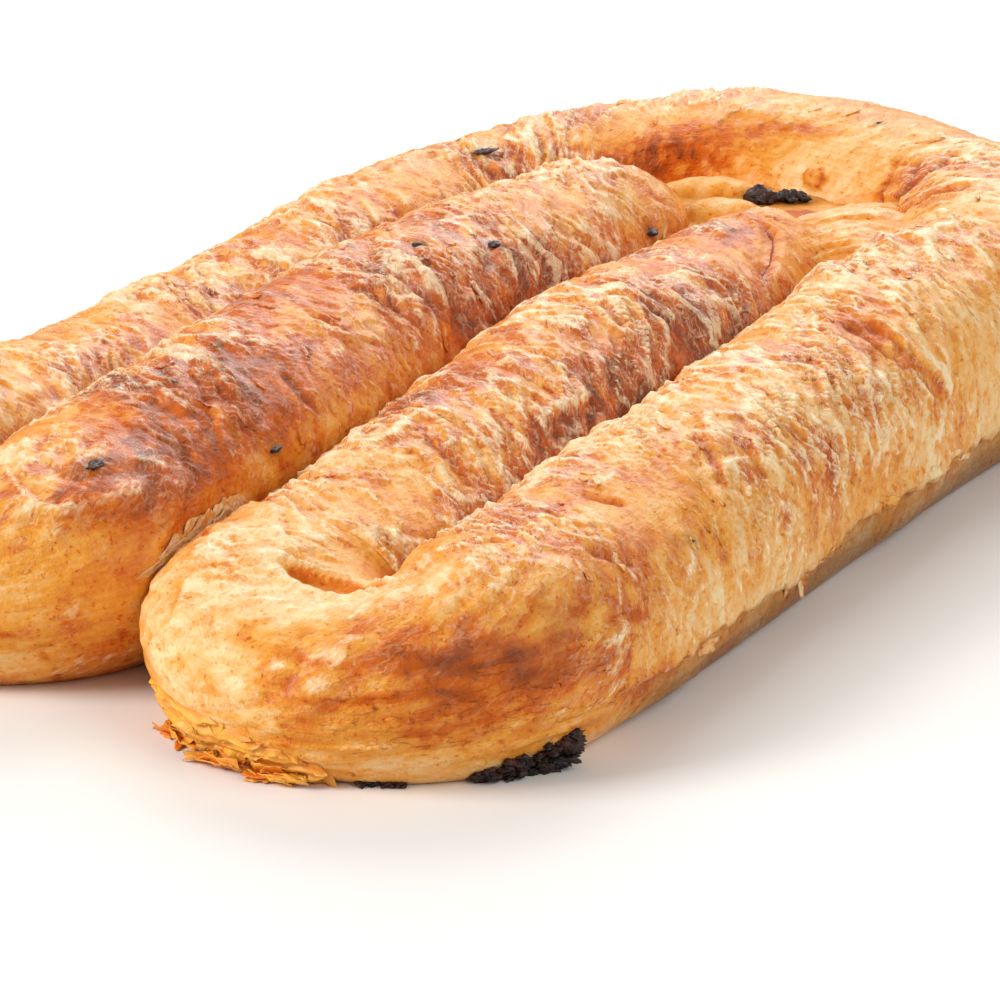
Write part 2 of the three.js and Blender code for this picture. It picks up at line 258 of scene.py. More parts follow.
# Dark specks: place along and round the rope, length, width, height, turn.
SPECKS = [
    (0.570, 0.383, 3.0, 1.3, 0.6, 1.2), (0.9125, 0.456, 1.2, 1.0, 0.5, 0.0),
    (0.927, 0.517, 1.2, 1.6, 0.6, 0.5), (0.974, 0.600, 1.6, 1.5, 0.8, 0.9),
    (0.805, 0.492, 3.4, 1.2, 0.6, 1.83), (0.835, 0.592, 1.0, 2.0, 0.5, 0.2),
    (0.266, 0.586, 0.6, 0.6, 0.3, 0.0), (0.4815, 0.414, 0.6, 0.5, 0.3, 0.0),
    (0.927, 0.535, 0.8, 0.7, 0.4, 0.0),
]
SCORCH_REACH = 1.5
SCORCH = 0.65

# The camera of the photograph, before the shape is centred on the frame.
CAMERA_AT = (572.588, -886.104, 375.277)
CAMERA_RIGHT = (0.83805, 0.54559, 0.0)
CAMERA_UP = (-0.18522, 0.28450, 0.94061)
SENSOR = 36.0
LENS = SENSOR * 5.7065
CAMERA_FAR = 20
# Soft lights: name, place in metres, size, watts.
LIGHTS = [
    ("key", (-0.85, -1.0, 0.75), 0.6, 18), ("fill", (1.1, -0.1, 0.8), 0.9, 7),
    ("back", (-0.45, 1.0, 0.75), 0.9, 12),
]
SKY = (1.0, 0.99, 0.97, 1)
SKY_STRENGTH = 0.38
FLOOR_HALF = 4000


def smoothstep(x, low, high):
    """Eases from 0 to 1 between two places."""
    t = np.clip((x - low) / (high - low), 0, 1)
    return t * t * (3 - 2 * t)


def bell(x, width):
    """1 at 0, fading out over a width to both sides."""
    return np.exp(-(x / width) ** 2)


def plateau(x, rise, level, fall, end):
    """Rises from 0 to 1 between the first two places and falls back between the last two."""
    return smoothstep(x, rise, level) * (1 - smoothstep(x, fall, end))


class Noise:
    """Smooth seeded noise over a plane, about -1 to 1."""

    CELLS = 256

    def __init__(self, seed):
        angle = np.random.default_rng(seed).uniform(0, 2 * np.pi, (self.CELLS, self.CELLS))
        self.slope_x = np.cos(angle)
        self.slope_y = np.sin(angle)

    def __call__(self, x, y):
        x, y = np.broadcast_arrays(x, y)
        column = np.floor(x).astype(int)
        row = np.floor(y).astype(int)
        inner_x = x - column
        inner_y = y - row
        ease_x = smoothstep(inner_x, 0, 1)
        ease_y = smoothstep(inner_y, 0, 1)

        def corner(step_x, step_y):
            cell = (column + step_x) % self.CELLS, (row + step_y) % self.CELLS
            return self.slope_x[cell] * (inner_x - step_x) + self.slope_y[cell] * (inner_y - step_y)

        low = corner(0, 0) * (1 - ease_x) + corner(1, 0) * ease_x
        high = corner(0, 1) * (1 - ease_x) + corner(1, 1) * ease_x
        return 1.5 * (low * (1 - ease_y) + high * ease_y)


def half_ellipse(bend, start, end):
    """Points round a bend, between two angles in degrees."""
    x, y, radius_x, radius_y = bend
    angle = np.radians(np.linspace(start, end, LINE_POINTS))
    return np.stack([x + radius_x * np.cos(angle), y + radius_y * np.sin(angle)], -1)


def leg(start, end, bows=(0, 0)):
    """A leg of the rope, which leaves and arrives straight along y apart from its bows."""
    t = np.linspace(0, 1, LINE_POINTS)[:, None]
    start = np.array(start, float)
    end = np.array(end, float)
    handle = (end[1] - start[1]) * HANDLE_SHARE
    first = start + (bows[0], handle)
    second = end + (bows[1], -handle)
    near = (1 - t) ** 3 * start + 3 * (1 - t) ** 2 * t * first
    return near + 3 * (1 - t) * t ** 2 * second + t ** 3 * end


def stretches():
    """The middle line's seven stretches, from the right tip to the left one."""
    front = half_ellipse(FRONT_BEND, 180, 360)
    arc = half_ellipse(FAR_ARC, 0, 180)
    left = half_ellipse(LEFT_BEND, 180, 360)
    return [
        leg(RIGHT_TIP, front[0], RIGHT_INNER_BOW), front, leg(front[-1], arc[0]), arc,
        leg(arc[-1], left[0]), left, leg(left[-1], LEFT_TIP, LEFT_INNER_BOW),
    ]


class Rope:
    """The rope's rows: where each lies, which way it faces, how big it is and its room on either side."""

    def __init__(self):
        parts = stretches()
        lengths = [np.linalg.norm(np.diff(part, axis=0), axis=1).sum() for part in parts]
        ends = np.r_[0, np.cumsum(lengths)]
        self.knots = np.sort(np.r_[ends, (ends[1:] + ends[:-1]) / 2])
        self.line = np.concatenate([parts[0]] + [part[1:] for part in parts[1:]])
        self.line_at = np.r_[0, np.cumsum(np.linalg.norm(np.diff(self.line, axis=0), axis=1))]
        self.length = self.line_at[-1]
        self.along = self.row_distances()
        self.point = self.on_line(self.along)
        tangent = self.on_line(self.along + 0.5) - self.on_line(self.along - 0.5)
        tangent /= np.linalg.norm(tangent, axis=1)[:, None]
        self.normal = np.stack([-tangent[:, 1], tangent[:, 0]], -1)
        girth = self.eased(GIRTH)
        self.half = girth[:, 0]
        self.height = girth[:, 1]
        inset = np.clip(np.minimum(self.along, self.length - self.along) / TIP_LENGTH, 0, 1)
        self.taper = np.sqrt(1 - (1 - inset) ** 2)
        self.left_room, self.left = self.side(1)
        self.right_room, self.right = self.side(-1)

    def row_distances(self):
        tip = TIP_LENGTH * (np.arange(1, TIP_ROWS + 1) / TIP_ROWS) ** 2
        count = int((self.length - 2 * TIP_LENGTH) / ROW_PITCH)
        body = np.linspace(TIP_LENGTH, self.length - TIP_LENGTH, count + 1)[1:-1]
        return np.r_[tip, body, self.length - tip[::-1]]

    def on_line(self, along):
        along = np.clip(along, 0, self.length)
        return np.stack([np.interp(along, self.line_at, self.line[:, k]) for k in (0, 1)], -1)

    def eased(self, table):
        """A table of values at the knots, eased from one to the next."""
        row = np.clip(np.searchsorted(self.knots, self.along, side="right") - 1, 0, len(self.knots) - 2)
        ease = smoothstep((self.along - self.knots[row]) / (self.knots[row + 1] - self.knots[row]), 0, 1)
        return table[row] + (table[row + 1] - table[row]) * ease[:, None]

    def side(self, sign):
        """The room up to the neighbouring leg, and the width of a side that swells to fill a small gap."""
        offset = self.line[None, ::4] - self.point[:, None]
        across = sign * np.einsum("ijk,ik->ij", offset, self.normal)
        square = (offset ** 2).sum(-1)
        apart = np.abs(self.line_at[None, ::4] - self.along[:, None]) > NEIGHBOUR_REACH
        faces = apart & (across > 1e-6)
        room = np.where(faces, square / np.maximum(2 * across, 1e-9), np.inf).min(1)
        gap = np.clip(room - self.half, 0, SWELL)
        width = self.half + gap * (1 - smoothstep(gap, SWELL / 4, SWELL / 2))
        return self.eased_rows(np.minimum(room, FAR_ROOM)), self.eased_rows(width)

    def eased_rows(self, values):
        """Values of the rows, smoothed along the rope."""
        even = np.arange(0, self.length, ROW_PITCH)
        reach = int(3 * EASE_LENGTH / ROW_PITCH)
        weight = np.exp(-0.5 * (np.arange(-reach, reach + 1) * ROW_PITCH / EASE_LENGTH) ** 2)
        padded = np.pad(np.interp(even, self.along, values), reach, mode="edge")
        smooth = np.convolve(padded, weight / weight.sum(), mode="valid")
        return np.interp(self.along, even, smooth)


def section(share):
    """Where a share round the rope lies on its section: across, 1 at the left to -1, and up, 0 to 1."""
    angle = -FOOT_ANGLE + (np.pi + 2 * FOOT_ANGLE) * np.clip(share / CRUST_SHARE, 0, 1)
    cosine = np.cos(angle)
    sine = np.sin(angle)
    side = np.sign(cosine) * np.abs(cosine) ** ROUNDNESS
    upper = WIDEST_SHARE + (1 - WIDEST_SHARE) * np.clip(sine, 0, 1) ** ROUNDNESS
    lower = WIDEST_SHARE * np.maximum(0, 1 + sine / np.sin(FOOT_ANGLE))
    across = np.clip((share - CRUST_SHARE) / (1 - CRUST_SHARE), 0, 1)
    base = share > CRUST_SHARE
    rise = np.where(sine > 0, upper, lower)
    return np.where(base, FOOT_SHARE * (2 * across - 1), side), np.where(base, 0, rise)


class Crust:
    """The rope's surface as a grid of rows and columns, with its wrinkles and the fields that colour it."""

    def __init__(self):
        self.rope = Rope()
        rope = self.rope
        crust = np.linspace(0, CRUST_SHARE, CRUST_COLUMNS)
        base = np.linspace(CRUST_SHARE, 1, BASE_COLUMNS + 1)[1:-1]
        self.share = np.r_[crust, base]
        self.side, self.rise = section(self.share)
        reach, across = self.reaches()
        self.pressed = smoothstep(np.abs(reach - across), 0.5, 4)
        smooth = self.place(across)
        step = np.linalg.norm(np.diff(smooth, axis=1), axis=-1)
        around = np.concatenate([np.zeros((len(smooth), 1)), np.cumsum(step, axis=1)], axis=1)
        top = np.argmin(np.abs(self.share - TOP_SHARE))
        self.around = around - around[:, top:top + 1]
        self.along = np.broadcast_to(rope.along[:, None], self.around.shape)
        self.smooth_point = smooth
        self.smooth_normal = grid_normals(smooth)
        self.relief()
        self.colours()
        lift = self.lift * self.cover + self.bulges()
        self.point = smooth + self.smooth_normal * lift[..., None]
        self.point[..., 2] = np.where(self.rise[None] > 0, np.maximum(self.point[..., 2], 0), 0)
        self.normal = grid_normals(self.point)

    def reaches(self):
        """How far points lie across the rope, first freely and then pressed back from their neighbours."""
        rope = self.rope
        width = np.where(self.side > 0, rope.left[:, None], rope.right[:, None])
        reach = width * rope.taper[:, None] * self.side[None]
        return reach, np.clip(reach, SLIT / 2 - rope.right_room[:, None], rope.left_room[:, None] - SLIT / 2)

    def place(self, across):
        """The smooth surface, for points at distances across the rope."""
        rope = self.rope
        waist = WIDEST_SHARE * rope.height[:, None]
        z = waist + (self.rise[None] * rope.height[:, None] - waist) * rope.taper[:, None]
        flat = rope.point[:, None] + across[..., None] * rope.normal[:, None]
        return np.concatenate([flat, z[..., None]], -1)

    def around_at(self, along, share):
        """The distance round the rope, in mm from its top, of a place given as shares."""
        row = np.argmin(np.abs(self.rope.along - along * self.rope.length))
        return np.interp(share, self.share[:CRUST_COLUMNS], self.around[row, :CRUST_COLUMNS])

    def spot(self, along, share):
        """Distances of every point from a place on the rope, in mm, along and round it."""
        return self.along - along * self.rope.length, self.around - self.around_at(along, share)

    def noise(self, seed, long, wide, slanted=False):
        """Smooth noise over the crust, in blots of a length and width in mm."""
        return Noise(seed)((self.slant if slanted else self.along) / long, self.around / wide)

    def noises(self, table, slanted=False):
        """Noises added up, each with its strength."""
        return sum(strength * self.noise(*blots, slanted) for *blots, strength in table)

    def patches(self, table):
        """Soft patches with uneven edges, added up."""
        shift_along = self.noises(EDGES_ALONG)
        shift_round = self.noises(EDGES_ROUND)
        fleck = np.clip(0.8 + 0.55 * self.noise(*FLECKS), 0.3, 1.4)
        total = np.zeros_like(self.around)
        for place, share, long, wide, strength in table:
            ahead, beside = self.spot(place, share)
            ahead = (ahead + shift_along * min(1, long / FULL_WANDER)) / long
            beside = (beside + shift_round * min(1, wide / FULL_WANDER)) / wide
            total += strength * np.exp(-ahead ** 2 - beside ** 2)
        return total * fleck

    def bulges(self):
        """How far the form swells out or sinks in broad places."""
        total = np.zeros_like(self.around)
        for place, share, long, wide, high in BULGES:
            ahead, beside = self.spot(place, share)
            total += high * bell(ahead, long) * bell(beside, wide)
        return total * smoothstep(self.rise, *GROUND_RISE)[None]

    def trace(self, places):
        """Every point's distance from a line on the rope, its side of it, and the share of it passed."""
        corners = [(along * self.rope.length, self.around_at(along, share)) for along, share in places]
        corners = np.array(corners)
        steps = np.linalg.norm(np.diff(corners, axis=0), axis=1)
        nearest = np.full(self.around.shape, np.inf)
        side = np.zeros_like(self.around)
        progress = np.zeros_like(self.around)
        for number, step in enumerate(steps):
            direction = (corners[number + 1] - corners[number]) / step
            ahead = self.along - corners[number, 0]
            beside = self.around - corners[number, 1]
            walk = np.clip(ahead * direction[0] + beside * direction[1], 0, step)
            off = np.hypot(ahead - walk * direction[0], beside - walk * direction[1])
            closer = off < nearest
            nearest = np.where(closer, off, nearest)
            turn = direction[0] * beside - direction[1] * ahead
            side = np.where(closer, np.sign(turn), side)
            progress = np.where(closer, (steps[:number].sum() + walk) / steps.sum(), progress)
        return nearest, side, progress

    def bent(self, noise, pitch, length, bend):
        """Noise in long blots that run slantwise round the rope, bent by a sway and a bow."""
        sway, sway_pitch, sway_length, bow, bow_pitch = bend
        aside = noise(self.slant / (sway_pitch * pitch) + SWAY_SHIFT, self.around / (sway_length * length))
        ahead = noise(self.slant / (bow_pitch * pitch) + BOW_SHIFT[0], self.around / length + BOW_SHIFT[1])
        across = self.slant + sway * pitch * aside
        return noise(across / pitch, (self.around + bow * length * ahead) / length)

    def wrinkle(self, seed, pitch, length, width):
        """Sharp short ridges that run slantwise round the rope: 1 on a ridge, 0 between them."""
        noise = Noise(seed)
        ridge = np.clip(1 - np.abs(self.bent(noise, pitch, length, FOLD_BEND)) / width, 0, 1)
        across = self.slant / (2.2 * pitch) + DASH_SHIFT[0]
        dashes = noise(across, self.around / (0.8 * length) + DASH_SHIFT[1])
        return ridge * smoothstep(dashes, -0.45, 0.15)

    def torn(self, seed, pitch, length, steps):
        """Torn layers that overlap: rises from 0 to 1 towards the edge of each, then drops steeply."""
        phase = (steps * self.bent(Noise(seed), pitch, length, LAYER_BEND)) % 1
        return np.minimum(phase / (1 - TORN_DROP), (1 - phase) / TORN_DROP)

    def layer_lines(self, seed):
        """The edges of the dough's layers, which run along the rope low on its sides."""
        noise = Noise(seed)
        drop = LINE_DROP * noise(self.along / 55 + 9.3, self.around / 60)
        field = noise(self.along / LINE_LENGTH, (self.around + drop) / LINE_PITCH)
        return np.clip(1 - 2.2 * np.abs(field), 0, 1)

    def relief(self):
        """How far the crust stands off the smooth rope."""
        self.slant = self.along + WRINKLE_SLANT * self.around
        patchy = self.noise(*PATCHY)
        hair = self.wrinkle(*HAIRS)
        coarse = self.torn(*COARSE_LAYERS)
        fine = self.torn(*FINE_LAYERS)
        lines = self.layer_lines(8)
        stretch = np.linalg.norm(np.gradient(self.smooth_point, axis=0), axis=-1) / ROW_PITCH
        tips = smoothstep(np.minimum(self.along, self.rope.length - self.along), *TIP_FADE)
        flaky_rows, open_rows = (
            np.where(tips < 1, tips, smoothstep(stretch, *reach)) for reach in (FLAKY_STRETCH, OPEN_STRETCH)
        )
        self.rough = np.clip(1 - self.patches(SMOOTH_PATCHES), 0.06, 1) * flaky_rows
        self.rough *= np.clip(0.85 + 0.5 * patchy, 0.3, 1.3)
        low = 1 - smoothstep(self.rise, *LOW_RISE)[None]
        side = 1 - smoothstep(self.rise, *SIDE_RISE)[None]
        self.low_side = side
        upper = self.rough * (1 - 0.72 * side)
        clusters = smoothstep(self.noise(*CLUSTERS, slanted=True) + 0.3 * patchy, -0.6, 0.05)
        flaky = upper * (0.4 + 0.6 * clusters)
        self.flaky = flaky
        edges = 0.75 * smoothstep(coarse, 0.7, 0.97) + 0.6 * smoothstep(fine, 0.65, 0.97)
        self.ridge = np.clip(flaky * edges + 0.5 * upper * hair + 0.4 * lines * side, 0, 1)
        # Painted shade in the low ground just past each torn layer's edge, and darker pits.
        hollows = (1 - smoothstep(coarse, 0, 0.25)) + 0.7 * (1 - smoothstep(fine, 0, 0.25))
        pits = np.clip(self.noise(*PITS) - 0.45, 0, 1) * side
        self.tint_and_shade = HOLLOW_SHADE * flaky * hollows + PIT_TINT * pits
        self.lift = BROAD_HEIGHT * self.noise(*BROAD) - RELIEF_SINK - PIT_DEPTH * pits
        self.lift += upper * (FOLD_HEIGHT * self.wrinkle(*FOLDS) + HAIR_HEIGHT * hair)
        self.lift += flaky * (COARSE_HEIGHT * coarse + FINE_HEIGHT * fine)
        self.lift += LINE_HEIGHT * lines * side + LOW_HEIGHT * low
        self.shelf()
        self.marks()
        ground = smoothstep(self.rise, *GROUND_RISE)[None]
        self.cover = (1 - self.pressed) * open_rows * ground

    def shelf(self):
        """The ragged lower edge of the outer layer, over a recess darkened with painted shade."""
        level = np.full(len(self.rope.along), SHELF_SHARE)
        for seed, long, sway in SHELF_RAGS:
            level += sway * Noise(seed)(self.rope.along / long, 0.3)
        crust = self.share[:CRUST_COLUMNS]
        edge = [np.interp(height, crust, row[:CRUST_COLUMNS]) for height, row in zip(level, self.around)]
        below = self.around - np.array(edge)[:, None]
        strength = plateau(self.along / self.rope.length, *SHELF_ALONG)
        over = np.where(below < 0, bell(below, 5), 0)
        under = smoothstep(below, -0.2, 0.8) * bell(np.maximum(below, 0), 7)
        self.lift += strength * (SHELF_LIP * over - SHELF_RECESS * under)
        # Painted shade: the recess under the lip and a thin line below it are darkened.
        self.tint_and_shade += strength * (0.14 * under + 0.28 * bell(below - 0.9, 0.7))

    def marks(self):
        """Seams, splits, torn edges and folds that stand out in the crust."""
        self.split()
        for places in TORN_EDGES:
            self.torn_edge(places, *TORN_FORM)
        self.torn_edge(TIP_SEAM, *SEAM_FORM)
        self.crease(TIP_SEAM, *SEAM_CREASE)
        self.blister()
        for places in CREASES:
            self.crease(places, *CREASE_FORM)
        for places in PIT_RIDGES:
            ridge = bell(self.trace(places)[0], PIT_RIDGE_WIDTH)
            self.lift += PIT_RIDGE_HEIGHT * ridge
            self.tint_and_shade -= 0.08 * ridge
        self.torn_edge(LEFT_LIP, *LIP_FORM)

    def split(self):
        """The open split in the front bend's top, with a raised rim and a darker inside."""
        off, _, share = self.trace(FRONT_SPLIT)
        width = 0.4 + SPLIT_WIDTH * np.sin(np.pi * np.clip(share, 0.02, 0.98)) ** 0.8
        depth = smoothstep(1 - off / width, 0.0, 0.7) * smoothstep(width, 0.4, 3.0)
        rim = bell(off - width - 0.6, 0.9)
        inside = smoothstep(depth, 0.0, 0.5)
        self.lift = self.lift * (1 - inside) + 0.8 * rim - SPLIT_DEPTH * depth
        self.tint_and_shade = self.tint_and_shade * (1 - inside) + 0.34 * inside
        self.tint_and_shade += 0.2 * bell(off, 0.9) * smoothstep(share, 0.7, 1.0)
        self.ridge = (self.ridge + 0.4 * rim) * (1 - inside)
        self.flaky = self.flaky * (1 - inside)
        self.rough = self.rough * (1 - inside)

    def blister(self):
        """A browned bubble on the far arc's inner wall, darkest at its edge."""
        ahead, beside = self.spot(*BLISTER_AT)
        reach = np.hypot(ahead / BLISTER_SIZE[0], beside / BLISTER_SIZE[1])
        reach = np.maximum(reach + 0.3 * self.noise(*BLISTER_RAGS), 0)
        bubble = np.exp(-reach ** 4)
        self.lift += BLISTER_HEIGHT * bubble
        self.tint_and_shade += 0.2 * bubble + 0.3 * bell(reach - 0.9, 0.25)

    def torn_edge(self, places, reach, high, tint_and_shade):
        """The edge of a layer: raised and pale on the left of its line, darkened beyond it as painted shade.
        """
        off, side, share = self.trace(places)
        fade = smoothstep(np.minimum(share, 1 - share), 0.0, 0.15)
        beyond = -off * side + 0.9 * self.noise(*TORN_RAGS)
        past = smoothstep(beyond, -0.8, 1.2)
        upper = (1 - past) * bell(beyond, reach) * fade
        lower = past * bell(beyond, 3.5) * fade
        lip = bell(beyond + 1.2, 0.9) * fade
        self.lift += high * (upper - 0.6 * lower)
        # Painted shade beyond the raised edge.
        self.tint_and_shade += tint_and_shade * lower
        self.ridge = np.clip(self.ridge * (1 - lower) + 0.45 * lip, 0, 1)

    def crease(self, places, width, depth, tint_and_shade):
        """A groove along a line, darkened with painted shade."""
        groove = bell(self.trace(places)[0], width)
        self.lift -= depth * groove
        self.tint_and_shade += tint_and_shade * groove
        self.ridge *= 1 - groove

    def colours(self):
        """How brown, pale-edged, scorched and flaky the crust is, with painted shade at the outer right leg's
        foot.
        """
        left, top, right = self.rope.eased(BROWNING).T[..., None]
        share = self.share[None]
        to_left = smoothstep(-share, -SIDE_SHARES[1], -SIDE_SHARES[0])
        to_right = smoothstep(share, SIDE_SHARES[1], SIDE_SHARES[2])
        brown = top + (left - top) * to_left + (right - top) * to_right
        cloud = self.noises(CLOUDS)
        streak = self.noises(STREAKS, slanted=True)
        spread = cloud * (0.45 + 0.55 * self.rough) + streak * self.rough * (1 - 0.6 * self.low_side)
        self.brown = np.clip(brown + spread + self.patches(BROWN_PATCHES) + self.tint_and_shade, *BROWN_RANGE)
        plain = np.clip(1 - self.patches(PLAIN_PATCHES), 0.1, 1)
        self.ridge *= plain * (1 - 0.5 * smoothstep(brown, 0.42, 0.7))
        self.flaky *= plain
        # Painted shade: the foot of the outer right leg darkens towards the floor, in the same field as the
        # scorch.
        right_leg = plateau(self.along / self.rope.length, *FOOT_SHADE_ALONG) * (self.around > 0)
        foot = 1 - smoothstep(self.rise, *FOOT_SHADE_RISE)[None]
        self.char = FOOT_SHADE * right_leg * foot + self.patches(DARK_PATCHES)
        for along, share, long, wide, *_ in SPECKS:
            ahead, beside = self.spot(along, share)
            reach = np.hypot(ahead / (long + SCORCH_REACH), beside / (wide + SCORCH_REACH))
            near = np.exp(-reach ** 2 * 1.6)
            self.char += SCORCH * near
            self.ridge *= 1 - near
        self.char = np.clip(self.char, 0, 1)

    def field(self, grid, along, share):
        """The values of a grid at places on the crust, as distances along it in mm and shares round it."""
        row = np.interp(along, self.rope.along, np.arange(len(self.rope.along)))
        column = np.interp(share, self.share[:CRUST_COLUMNS], np.arange(CRUST_COLUMNS))
        first = np.clip(row.astype(int), 0, len(self.rope.along) - 2)
        left = np.clip(column.astype(int), 0, CRUST_COLUMNS - 2)
        ahead = row - first
        beside = column - left
        if grid.ndim == 3:
            ahead = ahead[..., None]
            beside = beside[..., None]
        low = grid[first, left] * (1 - ahead) + grid[first + 1, left] * ahead
        high = grid[first, left + 1] * (1 - ahead) + grid[first + 1, left + 1] * ahead
        return low * (1 - beside) + high * beside

    def at(self, along, share, lift):
        """Points over places on the crust."""
        outward = self.field(self.smooth_normal, along, share)
        return self.field(self.point, along, share) + outward * lift[..., None]

    def point_over(self, along, share, lift):
        """One point over a place on the crust, both as shares."""
        values = (along * self.rope.length, share, lift)
        return self.at(*(np.array([value]) for value in values))[0]

    def skins(self, along, share, height):
        """The upper and lower skin of a thin layer over places on the crust, clear of the floor."""
        both = [self.at(along, share, height - drop) for drop in (0, LEAF_THICKNESS)]
        for skin in both:
            skin[..., 2] = np.maximum(skin[..., 2], CLEARANCE)
        return both

    def share_per_mm(self, along, share):
        """How much of the way round the rope 1 mm is, near a place on the crust."""
        row = np.argmin(np.abs(self.rope.along - along))
        column = np.clip(np.searchsorted(self.share[:CRUST_COLUMNS], share), 1, CRUST_COLUMNS - 1)
        step = self.around[row, column] - self.around[row, column - 1]
        return (self.share[column] - self.share[column - 1]) / max(step, 0.2)


def rope_map(along, around):
    """Flat coordinates for the crust's material, from distances along and round the rope."""
    return np.stack([along + WRINKLE_SLANT * around, around], -1) / MAP_UNIT


def grid_normals(point):
    """Outward normals of a grid whose columns run round a closed loop."""
    ahead = np.gradient(point, axis=0)
    beside = np.roll(point, -1, axis=1) - np.roll(point, 1, axis=1)
    normal = np.cross(beside, ahead)
    size = np.linalg.norm(normal, axis=-1, keepdims=True)
    return normal / np.maximum(size, 1e-9)


def new_mesh(name, corners, faces, material, place, fields=None, flat_map=None, normals=None):
    """A mesh object from corners in mm and faces as arrays of corner numbers."""
    mesh = bpy.data.meshes.new(name)
    sizes = np.concatenate([np.full(len(part), part.shape[1]) for part in faces])
    loops = np.concatenate([part.ravel() for part in faces]).astype(np.int32)
    mesh.vertices.add(len(corners))
    mesh.vertices.foreach_set("co", ((corners + place) * MM).astype(np.float32).ravel())
    mesh.loops.add(len(loops))
    mesh.loops.foreach_set("vertex_index", loops)
    mesh.polygons.add(len(sizes))
    mesh.polygons.foreach_set("loop_start", np.r_[0, np.cumsum(sizes)[:-1]].astype(np.int32))
    mesh.update(calc_edges=True)
    mesh.validate()
    mesh.polygons.foreach_set("use_smooth", np.ones(len(mesh.polygons), bool))
    for field, values in (fields or {}).items():
        attribute = mesh.attributes.new(field, "FLOAT", "POINT")
        attribute.data.foreach_set("value", values.astype(np.float32))
    if flat_map is not None:
        layer = mesh.uv_layers.new(name="rope")
        layer.data.foreach_set("uv", flat_map[loops].astype(np.float32).ravel())
    if normals is not None:
        mesh.normals_split_custom_set_from_vertices(normals)
    mesh.materials.append(material)
    piece = bpy.data.objects.new(name, mesh)
    bpy.context.scene.collection.objects.link(piece)
    return piece


def grid_faces(rows, columns, closed):
    """The quads of a grid of corners, and round its last column where it is closed."""
    number = np.arange(rows * columns).reshape(rows, columns)
    ahead = np.roll(number, -1, axis=1) if closed else number[:, 1:]
    here = number if closed else number[:, :-1]
    return np.stack([here[:-1], ahead[:-1], ahead[1:], here[1:]], -1).reshape(-1, 4)


def colour(red, green, blue):
    """A colour given as it shows on a screen, from 0 to 255, as linear light."""
    shown = np.array([red, green, blue]) / 255
    return (*np.where(shown <= 0.04045, shown / 12.92, ((shown + 0.055) / 1.055) ** 2.4), 1.0)


class Nodes:
    """Short ways to add nodes to a material."""

    def __init__(self, name):
        self.material = bpy.data.materials.new(name)
        self.material.use_nodes = True
        self.tree = self.material.node_tree
        self.shader = self.tree.nodes["Principled BSDF"]

    def add(self, kind, inputs=None, **settings):
        node = self.tree.nodes.new(kind)
        for key, value in settings.items():
            setattr(node, key, value)
        for key, value in (inputs or {}).items():
            self.put(node.inputs[key], value)
        return node

    def put(self, socket, value):
        if isinstance(value, bpy.types.NodeSocket):
            self.tree.links.new(value, socket)
        else:
            socket.default_value = value

    def place(self):
        return self.add("ShaderNodeTexCoord").outputs["Object"]

    def field(self, name):
        return self.add("ShaderNodeAttribute", attribute_name=name).outputs["Fac"]

    def math(self, operation, first, second=0.0, third=0.0, clamp=False):
        inputs = {0: first, 1: second, 2: third}
        return self.add("ShaderNodeMath", inputs, operation=operation, use_clamp=clamp).outputs[0]

    def times(self, first, second, clamp=False):
        return self.math("MULTIPLY", first, second, clamp=clamp)

    def line(self, value, slope, start, clamp=False):
        """A start, plus a value times a slope."""
        return self.math("MULTIPLY_ADD", value, slope, start, clamp)

    def off_middle(self, value):
        """How far a noise is from its middle."""
        return self.math("SUBTRACT", value, 0.5)

    def noise(self, vector, scale=1.0, detail=3.0, roughness=0.6, output="Fac"):
        inputs = {"Vector": vector, "Scale": scale, "Detail": detail, "Roughness": roughness}
        return self.add("ShaderNodeTexNoise", inputs).outputs[output]

    def cells(self, vector, feature="F1"):
        inputs = {"Vector": vector, "Scale": 1.0}
        return self.add("ShaderNodeTexVoronoi", inputs, voronoi_dimensions="2D", feature=feature).outputs

    def cell_values(self, vector):
        """Three even draws for each cell, as the parts of a colour."""
        return self.add("ShaderNodeSeparateColor", {"Color": self.cells(vector)["Color"]}).outputs

    def stretched(self, vector, along, around):
        """Coordinates with so many units along and round the rope."""
        inputs = {"Vector": vector, "Scale": (along, around, 1.0)}
        return self.add("ShaderNodeMapping", inputs).outputs["Vector"]

    def ramp(self, factor, stops):
        node = self.add("ShaderNodeValToRGB", {"Fac": factor})
        points = node.color_ramp.elements
        while len(points) < len(stops):
            points.new(0.5)
        for point, (position, value) in zip(points, stops):
            point.position = position
            point.color = value
        return node.outputs["Color"]

    def mix(self, factor, first, second):
        node = self.add("ShaderNodeMix", data_type="RGBA")
        for key, value in (("Factor", factor), ("A", first), ("B", second)):
            self.put(node.inputs[key], value)
        return node.outputs["Result"]

    def bump(self, height, strength, distance, **under):
        inputs = {"Height": height, "Strength": strength, "Distance": distance, **under}
        return self.add("ShaderNodeBump", inputs).outputs["Normal"]

    def finish(self, **values):
        for key, value in values.items():
            self.put(self.shader.inputs[key.replace("_", " ")], value)
        return self.material


CREAM = colour(246, 213, 156)
GOLD = colour(237, 159, 56)
ORANGE = colour(208, 98, 6)
RED_BROWN = colour(160, 70, 14)
DARK_BROWN = colour(98, 48, 22)
# Pale flake edges: their own cream, whitened further as painted highlight.
RIDGE_CREAM_AND_HIGHLIGHT = colour(255, 231, 186)
BURNT = colour(26, 18, 16)
BURNT_EDGE = colour(84, 40, 24)
LEAF_GOLD = colour(255, 178, 58)
LEAF_ORANGE = colour(226, 100, 10)
FLOOR_PALE = colour(240, 238, 234)
FLOOR_GREY = colour(236, 234, 230)
